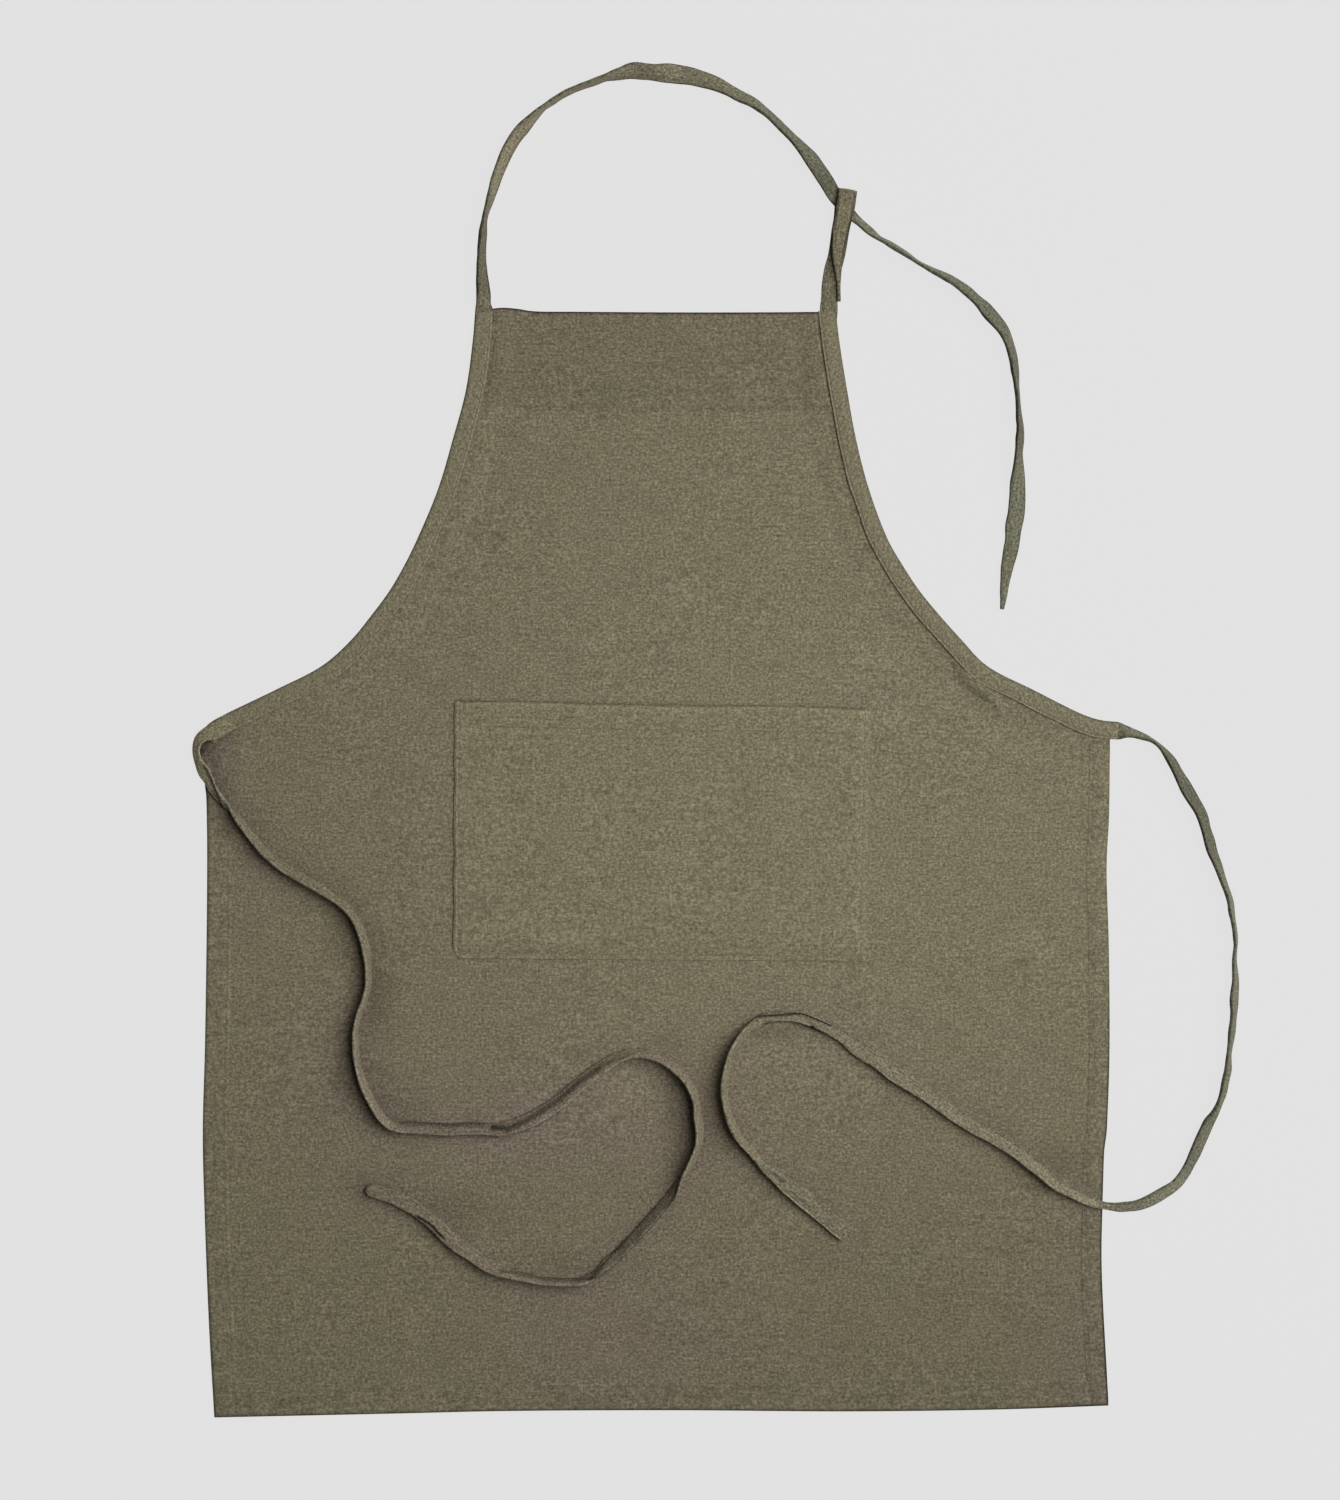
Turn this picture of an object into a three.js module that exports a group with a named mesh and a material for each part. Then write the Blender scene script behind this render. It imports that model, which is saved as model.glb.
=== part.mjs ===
// A kitchen apron of washed linen, laid out flat with its front up.
// Millimetres. X runs across the apron, Y up towards the neck, Z up from the surface it lies on.
// The origin is on that surface, under the middle of the waistline.
import * as THREE from "three";

// Cloth and tape
const cloth = 1.0;
const hemRise = 0.6;
const gap = 0.3;
const tapeThickness = 1.6;

// Binding folded over the armhole edges
const bindingWidth = 15;
const bindingWall = 1.0;
const bindingHeight = 2 * bindingWall + 2 * gap + cloth;
const cutEdge = bindingWall + 3 * gap;
const liftedTo = 20;
const liftEndsAt = 36;

// Hems of the panel
const bibTop = 328;
const bibHem = 76;
const leftHem = 18;
const rightHem = 15.5;
const bottomHem = 20;
const hemStep = 0.8;
const cornerAt = 348.6;

// Patch pocket
const pocketCorners = {
  topLeft: [-157, 25.6],
  topRight: [164.7, 20.2],
  bottomLeft: [-161, -170.5],
  bottomRight: [160, -174.4],
};
const pocketRim = 10;
const pocketMouthHem = 19;
const pocketRise = 0.4;

// Armhole outline. Columns: height above the waist, left edge, right edge.
const armholeRows = [
  [bibTop, -141.2, 138.2],
  [306, -143.0, 140.7],
  [267, -148.4, 146.9],
  [229, -158.5, 153.8],
  [190, -170.1, 163.9],
  [151, -186.4, 178.6],
  [132, -195.7, 189.5],
  [112, -207.3, 202.7],
  [93, -221.3, 218.2],
  [74, -236.8, 235.2],
  [54, -259.2, 254.6],
  [35, -295.7, 291.0],
  [15.5, -336.0, 330.5],
];
// Where each binding runs on past the last row. Columns: across, up.
const leftEnd = [[-351, 8.0]];
const rightEnd = [[344, 11.4], [357, 10.2]];
// The left binding stops here, where the tie folds over the corner.
const leftBindingStop = 13;

// Skirt edges. Columns: height, across.
const leftSide = [
  [8, -350.6],
  [-120, -348.4],
  [-236, -349.9],
  [-310, -352.2],
  [-372, -350.7],
  [-450, -347.6],
  [-529, -342.9],
];
const rightSide = [
  [8, 350.2],
  [-62, 347.8],
  [-101, 346.0],
  [-159, 349.1],
  [-217, 349.9],
  [-333, 346.0],
  [-410, 345.3],
  [-519, 349.9],
];
// Bottom edge. Columns: across, height.
const bottomEdge = [
  [-343, -528.6],
  [-200, -525.5],
  [-122, -523.1],
  [10, -522.4],
  [150, -523.9],
  [265, -522.4],
  [350, -519.3],
];

// Heights of the rows of the panel between bib top and waist corner.
const panelLevels = [
  bibTop, 290, bibTop - bibHem + hemStep, bibTop - bibHem, 225, 200, 175, 150,
  130, 112, 95, 80, 68, 60, 53, 45, 36, 26, 15.5,
];
// Shares of the way from the waist corner to the bottom edge.
const skirtShares = [0.03, 0.06, 0.1, 0.17, 0.25, 0.34, 0.43, 0.52, 0.61, 0.7, 0.79, 0.87];
const innerColumns = 14;

// Tapes. Columns: across, up, lean in degrees, lift of its lowest edge, width.
// A lean of 0 or 180 lies flat and 90 stands on edge. The right-hand edge rises from 0 to 90.
const neckStrapRows = [
  [-134.2, bibTop + gap, 176, 1.0, 14],
  [-134.3, 333.5, 168, 0.8, 14.5],
  [-135.4, 345.0, 136, 0.2, 15],
  [-136.8, 362.2, 117, 0, 15],
  [-135.9, 389.0, 106, 0, 15],
  [-131.0, 413.0, 109, 0, 15],
  [-122.0, 440.5, 125, 0, 15],
  [-108.0, 466.0, 133, 0, 15],
  [-88.2, 486.5, 112, 0, 15],
  [-69.9, 498.6, 100, 0, 15],
  [-43.0, 508.9, 109, 0, 15],
  [-25.0, 513.6, 140, 0, 15],
  [-7.5, 514.5, 160, 0, 15],
  [14.2, 512.6, 162, 0, 15],
  [35.5, 508.0, 148, 0, 15],
  [55.7, 499.5, 127, 0, 15],
  [80.9, 485.0, 113, 0, 15],
  [97.0, 470.5, 111, 0, 15],
  [111.8, 454.7, 122, 0, 15],
  [123.0, 440.5, 140, 0.3, 15],
  [129.8, 426.4, 160, 1.4, 15],
  [136.2, 414.8, 173, 1.9, 11],
  [145.0, 408.0, 177, 1.9, 9],
  [152.5, 401.2, 168, 1.9, 8],
  [161.0, 393.2, 128, 1.0, 11],
  [172.0, 385.5, 112, 0, 15],
  [190.5, 373.9, 102, 0, 15],
  [216.2, 358.9, 99, 0, 15],
  [235.0, 347.5, 118, 0, 15],
  [251.9, 332.3, 127, 0, 15],
  [264.0, 318.0, 130, 0, 15],
  [272.5, 301.5, 115, 0, 15],
  [276.6, 279.8, 105, 0, 15],
  [279.2, 250.2, 99, 0, 15],
  [279.3, 218.0, 114, 0, 15],
  [278.6, 190.8, 143, 0, 15],
  [275.6, 161.3, 152, 0, 15],
  [270.8, 128.0, 156, 0, 11],
  [267.8, 98.0, 160, 0, 5.5],
];

// The two legs of the loop, in the same columns. The back leg runs up, the front leg down.
const backLegRows = [
  [131.4, bibTop + gap, 0, 1.0, 14],
  [132.0, 346.0, 0, 0, 14],
  [136.0, 364.3, 0, 0, 14],
  [139.9, 383.6, 0, 0, 14],
  [143.8, 403.0, 0, 0, 14],
  [146.6, 418.5, 0, 0, 14],
];
const frontLegRows = [
  [146.6, 418.5, 0, 5.9, 14],
  [143.9, 401.0, 12, 5.9, 14],
  [140.6, 386.0, 28, 3.8, 14],
  [138.8, 372.0, 50, 1.9, 14],
  [139.4, 358.0, 70, 1.9, 13],
  [140.4, 345.0, 82, 1.9, 12],
  [140.6, 335.6, 85, 1.9, 11],
];
const foldSteps = 6;

const leftTieRows = [
  [-337.7, 4.8, 178, 2.7, 15],
  [-345.0, 0.6, 160, 2.7, 15],
  [-352.0, -4.6, 134, 2.7, 15],
  [-355.9, -12.0, 114, 1.0, 15],
  [-355.0, -23.0, 111, 1.6, 15],
  [-349.9, -35.5, 110, 2.2, 15],
  [-342.2, -46.5, 103, 2.2, 15],
  [-331.3, -58.9, 86, 2.2, 15],
  [-318.9, -75.2, 72, 1.6, 15],
  [-300.3, -95.3, 52, 1.3, 15],
  [-249.2, -127.1, 56, 1.3, 15],
  [-232.1, -146.5, 62, 1.3, 15],
  [-225.1, -170.5, 74, 1.3, 15],
  [-225.5, -193.8, 83, 1.3, 15],
  [-232.1, -214.7, 88, 1.3, 15],
  [-234.1, -237.9, 80, 1.3, 15],
  [-230.6, -263.5, 68, 1.3, 15],
  [-218.9, -288.3, 55, 1.3, 15],
  [-205.0, -303.0, 52, 1.3, 15],
  [-190.3, -306.2, 50, 1.3, 15],
  [-128.3, -304.6, 52, 1.3, 15],
  [-102.7, -296.8, 62, 1.3, 15],
  [-75.6, -280.6, 60, 1.3, 15],
  [-50.8, -261.2, 66, 1.3, 15],
  [-29.1, -249.6, 76, 1.3, 15],
  [-7.4, -248.0, 84, 1.3, 15],
  [12.8, -257.3, 72, 1.3, 15],
  [26.7, -274.4, 68, 1.3, 15],
  [32.2, -298.4, 68, 1.3, 15],
  [29.1, -323.2, 74, 1.3, 15],
  [19.8, -346.4, 96, 1.3, 15],
  [3.5, -369.7, 120, 1.3, 15],
  [-38.4, -412.3, 112, 1.3, 15],
  [-60.1, -423.2, 98, 1.3, 15],
  [-87.2, -423.2, 100, 1.3, 15],
  [-114.3, -417.0, 108, 1.3, 15],
  [-139.1, -405.3, 135, 1.3, 15],
  [-159.3, -388.3, 148, 1.3, 15],
  [-205.8, -357.3, 155, 1.3, 13],
  [-224.4, -352.6, 162, 1.3, 9],
];

const rightTieRows = [
  [357.4, 2.8, 170, 1.0, 13],
  [364.5, 1.6, 146, 0.6, 14],
  [375.0, -0.8, 114, 0, 15],
  [388.0, -8.0, 97, 0, 15],
  [397.7, -19.9, 117, 0, 15],
  [412.3, -46.0, 130, 0, 15],
  [424.5, -73.1, 120, 0, 15],
  [433.9, -101.2, 115, 0, 15],
  [443.4, -129.4, 103, 0, 15],
  [447.3, -158.7, 98, 0, 15],
  [446.8, -200.0, 112, 0, 15],
  [444.1, -232.7, 104, 0, 15],
  [440.6, -262.2, 107, 0, 15],
  [432.0, -290.6, 112, 0, 15],
  [422.0, -310.5, 127, 0, 15],
  [412.6, -330.7, 124, 0, 15],
  [399.5, -348.5, 127, 0, 15],
  [380.9, -360.3, 128, 0.4, 15],
  [363.5, -365.2, 118, 1.8, 15],
  [349.0, -365.7, 112, 2.2, 15],
  [335.2, -362.7, 120, 2.2, 15],
  [312.0, -350.3, 128, 1.5, 15],
  [288.7, -332.5, 134, 1.3, 15],
  [261.6, -313.1, 150, 1.3, 15],
  [219.0, -285.2, 166, 1.3, 15],
  [176.3, -258.1, 166, 1.3, 15],
  [149.2, -239.5, 155, 1.3, 15],
  [132.1, -228.6, 125, 1.3, 15],
  [110.4, -219.3, 106, 1.3, 15],
  [87.2, -218.6, 84, 1.3, 15],
  [69.4, -227.9, 68, 1.3, 15],
  [57.0, -248.8, 66, 1.3, 15],
  [53.9, -276.7, 70, 1.3, 15],
  [59.3, -303.0, 70, 1.3, 15],
  [73.2, -324.7, 74, 1.3, 15],
  [91.8, -341.0, 50, 1.3, 15],
  [116.6, -361.2, 22, 1.3, 15],
  [146.1, -386.0, 14, 1.3, 15],
];

// Vector helpers in the plane of the floor
const add = (p, d, s) => [p[0] + d[0] * s, p[1] + d[1] * s];
const unit = (d) => {
  const size = Math.hypot(d[0], d[1]);
  return [d[0] / size, d[1] / size];
};
const mix = (a, b, t) => a + (b - a) * t;
const smooth = (low, high, v) => THREE.MathUtils.smoothstep(v, low, high);

// A smooth curve through points of the plane.
function planCurve(points) {
  const spots = points.map((p) => new THREE.Vector3(p[0], p[1], 0));
  return new THREE.CatmullRomCurve3(spots, false, "centripetal");
}

// Reads a table of two columns at v.
function readTable(table, v) {
  const rising = table[table.length - 1][0] > table[0][0];
  for (let i = 0; i + 1 < table.length; i += 1) {
    const inside = rising ? v <= table[i + 1][0] : v >= table[i + 1][0];
    if (inside || i + 2 === table.length) {
      const t = (v - table[i][0]) / (table[i + 1][0] - table[i][0]);
      return mix(table[i][1], table[i + 1][1], THREE.MathUtils.clamp(t, 0, 1));
    }
  }
  return table[0][1];
}

// Point and direction on a falling curve where it passes a level, with the direction in to the cloth.
function edgeAt(curve, level, side) {
  let low = 0;
  let high = 1;
  for (let i = 0; i < 40; i += 1) {
    const mid = (low + high) / 2;
    if (curve.getPoint(mid).y > level) {
      low = mid;
    } else {
      high = mid;
    }
  }
  const point = curve.getPoint(low);
  const tangent = curve.getTangent(Math.min(low, 0.9999));
  const along = unit([tangent.x, tangent.y]);
  const inward = [side * along[1], -side * along[0]];
  return { point: [point.x, point.y], along, inward };
}

// Turns triangles into a named mesh, with its faces turned outwards.
function closedMesh(name, points, faces, color) {
  let volume = 0;
  for (const [a, b, c] of faces) {
    const [p, q, r] = [points[a], points[b], points[c]];
    volume += p[0] * (q[1] * r[2] - q[2] * r[1]);
    volume += p[1] * (q[2] * r[0] - q[0] * r[2]);
    volume += p[2] * (q[0] * r[1] - q[1] * r[0]);
  }
  const ordered = volume > 0 ? faces : faces.map(([a, b, c]) => [a, c, b]);
  const geometry = new THREE.BufferGeometry();
  geometry.setAttribute("position", new THREE.Float32BufferAttribute(points.flat(), 3));
  geometry.setIndex(ordered.flat());
  geometry.computeVertexNormals();
  const material = new THREE.MeshStandardMaterial({ color, roughness: 0.92, metalness: 0 });
  const mesh = new THREE.Mesh(geometry, material);
  mesh.name = name;
  return mesh;
}

// A thin sheet over a grid of rows from top to bottom. Each cell holds x, y, low and high.
function sheetSolid(name, rows, color) {
  const count = rows[0].length;
  const points = [];
  for (const row of rows) {
    for (const cell of row) {
      points.push([cell.x, cell.y, cell.high]);
    }
  }
  const under = points.length;
  for (const row of rows) {
    for (const cell of row) {
      points.push([cell.x, cell.y, cell.low]);
    }
  }
  const faces = [];
  const at = (r, c) => r * count + c;
  const quad = (a, b, c, d) => faces.push([a, b, c], [a, c, d]);
  for (let r = 0; r + 1 < rows.length; r += 1) {
    for (let c = 0; c + 1 < count; c += 1) {
      quad(at(r, c), at(r + 1, c), at(r + 1, c + 1), at(r, c + 1));
      quad(under + at(r, c), under + at(r, c + 1), under + at(r + 1, c + 1), under + at(r + 1, c));
    }
  }
  const rim = [];
  const last = rows.length - 1;
  for (let r = 0; r < last; r += 1) {
    rim.push(at(r, 0));
  }
  for (let c = 0; c < count - 1; c += 1) {
    rim.push(at(last, c));
  }
  for (let r = last; r > 0; r -= 1) {
    rim.push(at(r, count - 1));
  }
  for (let c = count - 1; c > 0; c -= 1) {
    rim.push(at(0, c));
  }
  rim.forEach((a, i) => {
    const b = rim[(i + 1) % rim.length];
    quad(a, under + a, under + b, b);
  });
  return closedMesh(name, points, faces, color);
}

// A solid lofted through closed sections with equal numbers of corners.
function loftSolid(name, sections, outline, color) {
  const size = outline.length;
  const points = sections.flat();
  const faces = [];
  for (let s = 0; s + 1 < sections.length; s += 1) {
    for (let k = 0; k < size; k += 1) {
      const a = s * size + k;
      const b = s * size + ((k + 1) % size);
      faces.push([a, b, b + size], [a, b + size, a + size]);
    }
  }
  const cap = THREE.ShapeUtils.triangulateShape(outline.map((p) => new THREE.Vector2(p[0], p[1])), []);
  const end = (sections.length - 1) * size;
  const turned = THREE.ShapeUtils.area(outline.map((p) => new THREE.Vector2(p[0], p[1]))) > 0;
  for (const [a, b, c] of cap) {
    faces.push(turned ? [a, c, b] : [a, b, c]);
    faces.push(turned ? [end + a, end + b, end + c] : [end + a, end + c, end + b]);
  }
  return closedMesh(name, points, faces, color);
}

// Front panel
const leftCurve = planCurve([...armholeRows.map((r) => [r[1], r[0]]), ...leftEnd]);
const rightCurve = planCurve([...armholeRows.map((r) => [r[2], r[0]]), ...rightEnd]);
const leftLine = leftCurve.getPoints(160);
const rightLine = rightCurve.getPoints(160);

function fromArmhole(x, y) {
  let nearest = Infinity;
  for (const p of x < 0 ? leftLine : rightLine) {
    nearest = Math.min(nearest, Math.hypot(p.x - x, p.y - y));
  }
  return nearest;
}

// Side is -1 on the left and 1 on the right.
function armholeColumns(level, side) {
  const edge = edgeAt(side < 0 ? leftCurve : rightCurve, level, side);
  const turn = 1 - smooth(150, 240, level);
  const inward = unit([mix(-side, edge.inward[0], turn), mix(0, edge.inward[1], turn)]);
  return [cutEdge, bindingWidth + 1.6, bindingWidth + 3.6, liftEndsAt].map((d) => add(edge.point, inward, d));
}

function cornerColumns(side) {
  const line = side < 0 ? leftLine : rightLine;
  const point = line.find((p) => Math.abs(p.x) >= cornerAt);
  const inward = unit([-side * 0.78, -0.63]);
  return [2 * cutEdge, 20, 22, liftEndsAt + 6].map((d) => add([point.x, point.y], inward, d));
}

function fillRow(left, right) {
  const from = left[left.length - 1];
  const to = right[right.length - 1];
  const row = [...left];
  for (let i = 1; i <= innerColumns; i += 1) {
    const t = i / (innerColumns + 1);
    row.push([mix(from[0], to[0], t), mix(from[1], to[1], t)]);
  }
  row.push(...right.slice().reverse());
  return row;
}

function skirtColumns(y) {
  const left = readTable(leftSide, y);
  const right = readTable(rightSide, y);
  const offsets = [0, 1, 2, 3];
  const fromLeft = [0, leftHem, leftHem + hemStep, liftEndsAt];
  const fromRight = [0, rightHem, rightHem + hemStep, liftEndsAt];
  return fillRow(offsets.map((i) => [left + fromLeft[i], y]), offsets.map((i) => [right - fromRight[i], y]));
}

const panelPlan = panelLevels.map((level) => fillRow(armholeColumns(level, -1), armholeColumns(level, 1)));
const cornerRow = fillRow(cornerColumns(-1), cornerColumns(1));
panelPlan.push(cornerRow);
const skirtLength = cornerRow[10][1] - bottomEdge[3][1];
const hemShare = 1 - bottomHem / skirtLength;
const shares = [...skirtShares, hemShare - hemStep / skirtLength, hemShare, 1];
for (const share of shares) {
  const settle = Math.min(1, share / 0.1);
  panelPlan.push(cornerRow.map((start, i) => {
    const flat = skirtColumns(mix(start[1], bottomEdge[3][1], share));
    const x = mix(start[0], flat[i][0], settle);
    return [x, mix(start[1], readTable(bottomEdge, x), share)];
  }));
}

function hemAt(row, column, count) {
  const bibRows = panelLevels.indexOf(bibTop - bibHem + hemStep);
  const skirtFrom = panelLevels.length + 3;
  const bottomFrom = panelLevels.length + shares.length - 1;
  const inBinding = row <= panelLevels.length && (column < 2 || column > count - 3);
  const sideHem = row >= skirtFrom && (column < 2 || column > count - 3);
  const flatHem = row <= bibRows || row >= bottomFrom;
  return (sideHem || flatHem) && !inBinding ? hemRise : 0;
}

const panelCells = panelPlan.map((row, r) => row.map(([x, y], c) => {
  const low = (bindingWall + gap) * (1 - smooth(liftedTo, liftEndsAt, fromArmhole(x, y)));
  return { x, y, low, high: low + cloth + hemAt(r, c, row.length) };
}));
const frontPanel = sheetSolid("front_panel", panelCells, 0x77715b);

// Patch pocket, turned under on three sides and open along its top
function shareColumns(length, rim, count) {
  const edges = [0, rim / length, (rim + hemStep) / length];
  const middle = [];
  for (let i = 1; i < count; i += 1) {
    middle.push(mix(edges[2], 1 - edges[2], i / count));
  }
  return [...edges, ...middle, 1 - edges[2], 1 - edges[1], 1];
}

const pocketWide = pocketCorners.topRight[0] - pocketCorners.topLeft[0];
const pocketDeep = pocketCorners.topLeft[1] - pocketCorners.bottomLeft[1];
const pocketAcross = shareColumns(pocketWide, pocketRim, 6);
const mouthShare = pocketMouthHem / pocketDeep;
const pocketDown = [0, mouthShare, mouthShare + hemStep / pocketDeep, 0.35, 0.6, 0.8,
  1 - (pocketRim + hemStep) / pocketDeep, 1 - pocketRim / pocketDeep, 1];
const pocketCells = pocketDown.map((v, r) => pocketAcross.map((u, c) => {
  const corner = (i) => mix(
    mix(pocketCorners.topLeft[i], pocketCorners.topRight[i], u),
    mix(pocketCorners.bottomLeft[i], pocketCorners.bottomRight[i], u),
    v,
  );
  const turned = c < 2 || c > pocketAcross.length - 3 || r > pocketDown.length - 3;
  const floor = cloth + gap;
  const high = floor + 2 * cloth + (r < 2 ? pocketRise : 0);
  return { x: corner(0), y: corner(1), low: turned ? floor : floor + cloth, high };
}));
const pocket = sheetSolid("pocket", pocketCells, 0x78725c);

// Folded binding. The outline runs from the back layer's free edge round the fold to the front layer's.
const roundOff = 1.1;
const bindingOutline = [
  [bindingWidth, 0],
  [roundOff, 0],
  [0, roundOff],
  [0, bindingHeight - roundOff],
  [roundOff, bindingHeight],
  [bindingWidth, bindingHeight],
  [bindingWidth, bindingHeight - bindingWall],
  [bindingWall + gap, bindingHeight - bindingWall],
  [bindingWall + gap, bindingWall],
  [bindingWidth, bindingWall],
];

function bindingSolid(name, curve, side, stop) {
  const stations = panelLevels.map((level) => edgeAt(curve, level, side));
  stations[0].inward = [-side, 0];
  for (const level of stop) {
    stations.push(edgeAt(curve, level, side));
  }
  const sections = stations.map(({ point, inward }) => bindingOutline.map(([d, z]) => {
    const p = add(point, inward, d);
    return [p[0], p[1], z];
  }));
  return loftSolid(name, sections, bindingOutline, 0x7a745d);
}

const bindingLeft = bindingSolid("armhole_binding_left", leftCurve, -1, [leftBindingStop]);
const bindingRight = bindingSolid("armhole_binding_right", rightCurve, 1, [11.4, 10.2]);

// A flat tape that leans as it runs. Flip turns its section over on a leg that runs back down.
const tapeOutline = [[-0.5, -0.5], [0.5, -0.5], [0.5, 0.5], [-0.5, 0.5]];

function tapeSections(rows, flip) {
  const curve = planCurve(rows);
  const sections = [];
  const steps = 2 * (rows.length - 1);
  for (let s = 0; s <= steps; s += 1) {
    const i = Math.min(Math.floor(s / 2), rows.length - 2);
    const t = s / 2 - i;
    const [lean, lift, width] = [2, 3, 4].map((k) => mix(rows[i][k], rows[i + 1][k], t));
    const point = curve.getPoint(s / steps);
    const tangent = curve.getTangent(s / steps);
    const along = unit([tangent.x, tangent.y]);
    const right = [along[1] * flip, -along[0] * flip];
    const angle = THREE.MathUtils.degToRad(lean);
    const [cos, sin] = [Math.cos(angle), Math.sin(angle)];
    const z = lift + (width / 2) * Math.abs(sin) + (tapeThickness / 2) * Math.abs(cos);
    sections.push(tapeOutline.map(([u, v]) => {
      const side = u * width * cos - v * tapeThickness * sin;
      const up = u * width * sin + v * tapeThickness * cos;
      return [point.x + right[0] * side, point.y + right[1] * side, z + up];
    }));
  }
  return sections;
}

const neckStrap = loftSolid("neck_strap", tapeSections(neckStrapRows, 1), tapeOutline, 0x77715b);
const tieLeft = loftSolid("waist_tie_left", tapeSections(leftTieRows, 1), tapeOutline, 0x77715b);
const tieRight = loftSolid("waist_tie_right", tapeSections(rightTieRows, 1), tapeOutline, 0x757058);

// Neck loop: up the back leg, round the fold and down the front leg
const backLeg = tapeSections(backLegRows, 1);
const frontLeg = tapeSections(frontLegRows.map((r) => [r[0], r[1], -r[2], r[3], r[4]]), -1);
const backTop = backLegRows[backLegRows.length - 1];
const foldAlong = unit([backTop[0] - backLegRows[4][0], backTop[1] - backLegRows[4][1]]);
const foldRight = [foldAlong[1], -foldAlong[0]];
const foldRadius = (frontLegRows[0][3] - backTop[3]) / 2;
const foldMiddle = backTop[3] + tapeThickness / 2 + foldRadius;
const fold = [];
for (let s = 0; s <= foldSteps; s += 1) {
  const turn = (Math.PI * s) / foldSteps;
  fold.push(tapeOutline.map(([u, v]) => {
    const reach = foldRadius - v * tapeThickness;
    const p = add(add(backTop, foldRight, u * backTop[4]), foldAlong, reach * Math.sin(turn));
    return [p[0], p[1], foldMiddle - reach * Math.cos(turn)];
  }));
}
const downLeg = frontLeg.slice(1).map((ring) => [ring[3], ring[2], ring[1], ring[0]]);
const loopRings = [...backLeg.slice(0, -1), ...fold, ...downLeg];
const neckLoop = loftSolid("neck_loop", loopRings, tapeOutline, 0x77715b);

const apron = new THREE.Group();
apron.name = "kitchen_apron";
apron.add(frontPanel, pocket, bindingLeft, bindingRight, neckStrap, neckLoop, tieLeft, tieRight);

export default apron;
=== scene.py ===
import math

import bpy
import numpy as np
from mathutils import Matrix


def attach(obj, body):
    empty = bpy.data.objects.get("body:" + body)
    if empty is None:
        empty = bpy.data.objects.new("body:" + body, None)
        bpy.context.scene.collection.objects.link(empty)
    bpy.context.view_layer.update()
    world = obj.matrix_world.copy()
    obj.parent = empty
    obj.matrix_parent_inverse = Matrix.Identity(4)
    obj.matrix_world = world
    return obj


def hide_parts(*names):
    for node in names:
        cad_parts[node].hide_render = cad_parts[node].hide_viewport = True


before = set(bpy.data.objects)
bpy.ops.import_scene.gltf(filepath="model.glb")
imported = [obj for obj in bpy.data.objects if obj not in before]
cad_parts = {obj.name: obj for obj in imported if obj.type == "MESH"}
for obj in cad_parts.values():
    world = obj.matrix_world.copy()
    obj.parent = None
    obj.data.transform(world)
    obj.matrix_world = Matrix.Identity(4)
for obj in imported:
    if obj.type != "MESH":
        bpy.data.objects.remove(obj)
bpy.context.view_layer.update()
mm = 0.001  # tables below are in millimetres, Blender is in metres
upward = np.array([0.0, 0.0, 1.0])
print("frame loaded with", len(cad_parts), "nodes")

# small tools for shapes


def ease(low, high, v):  # 0 below low, 1 above high, soft between
    t = np.clip((v - low) / (high - low), 0, 1)
    return t * t * (3 - 2 * t)


def near(v, width):  # 1 at zero, fading out over about that width
    return np.exp(-(v / width) ** 2)


def curveThrough(rows, perSpan):  # smooth curve through the rows, paced by the first two columns
    rows = np.asarray(rows, float)
    ends = np.vstack([2 * rows[0] - rows[1], rows, 2 * rows[-1] - rows[-2]])
    pace = np.sqrt(np.linalg.norm(np.diff(ends[:, :2], axis=0), axis=1))
    w = np.arange(perSpan)[:, None] / perSpan
    made = []
    for i in range(len(rows) - 1):
        p0, p1, p2, p3 = ends[i:i + 4]
        d0, d1, d2 = pace[i:i + 3]
        t1 = ((p1 - p0) / d0 - (p2 - p0) / (d0 + d1) + (p2 - p1) / d1) * d1
        t2 = ((p2 - p1) / d1 - (p3 - p1) / (d1 + d2) + (p3 - p2) / d2) * d1
        cube = 2 * (p1 - p2) + t1 + t2
        made.append(p1 + t1 * w + (3 * (p2 - p1) - 2 * t1 - t2) * w**2 + cube * w**3)
    return np.vstack(made + [rows[-1:]])


def lengthAlong(points):
    steps = np.linalg.norm(np.diff(points, axis=0), axis=1)
    return np.concatenate([[0], np.cumsum(steps)])


def evenly(rows, step):  # the same line with its points a step apart in plan
    rows = np.asarray(rows, float)
    run = lengthAlong(rows[:, :2])
    at = np.linspace(0, run[-1], max(3, int(round(run[-1] / step)) + 1))
    return np.stack([np.interp(at, run, column) for column in rows.T], 1)


def ripple(x, y, wave, seed):  # soft random waves of about that length
    draw = np.random.default_rng(seed)
    count, total = 16, 0
    for _ in range(count):
        turn, phase = draw.uniform(0, 2 * math.pi, 2)
        size = wave * draw.uniform(0.7, 1.5)
        total = total + np.sin((x * math.cos(turn) + y * math.sin(turn)) * 2 * math.pi / size + phase)
    return total / math.sqrt(count)


def rippleAlong(run, wave, seed):  # the same for places along a line
    return ripple(run, 0, wave, seed)


def unitRows(v):
    return v / np.linalg.norm(v, axis=-1, keepdims=True)


def tubeFaces(count, size):  # quads round a tube of that many rings, with both ends closed
    ring = np.arange(count * size).reshape(count, size)
    turn = np.roll(ring, -1, 1)
    sides = np.stack([ring[:-1], turn[:-1], turn[1:], ring[1:]], -1).reshape(-1, 4)
    return sides.tolist() + [ring[0][::-1].tolist(), ring[-1].tolist()]


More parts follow.
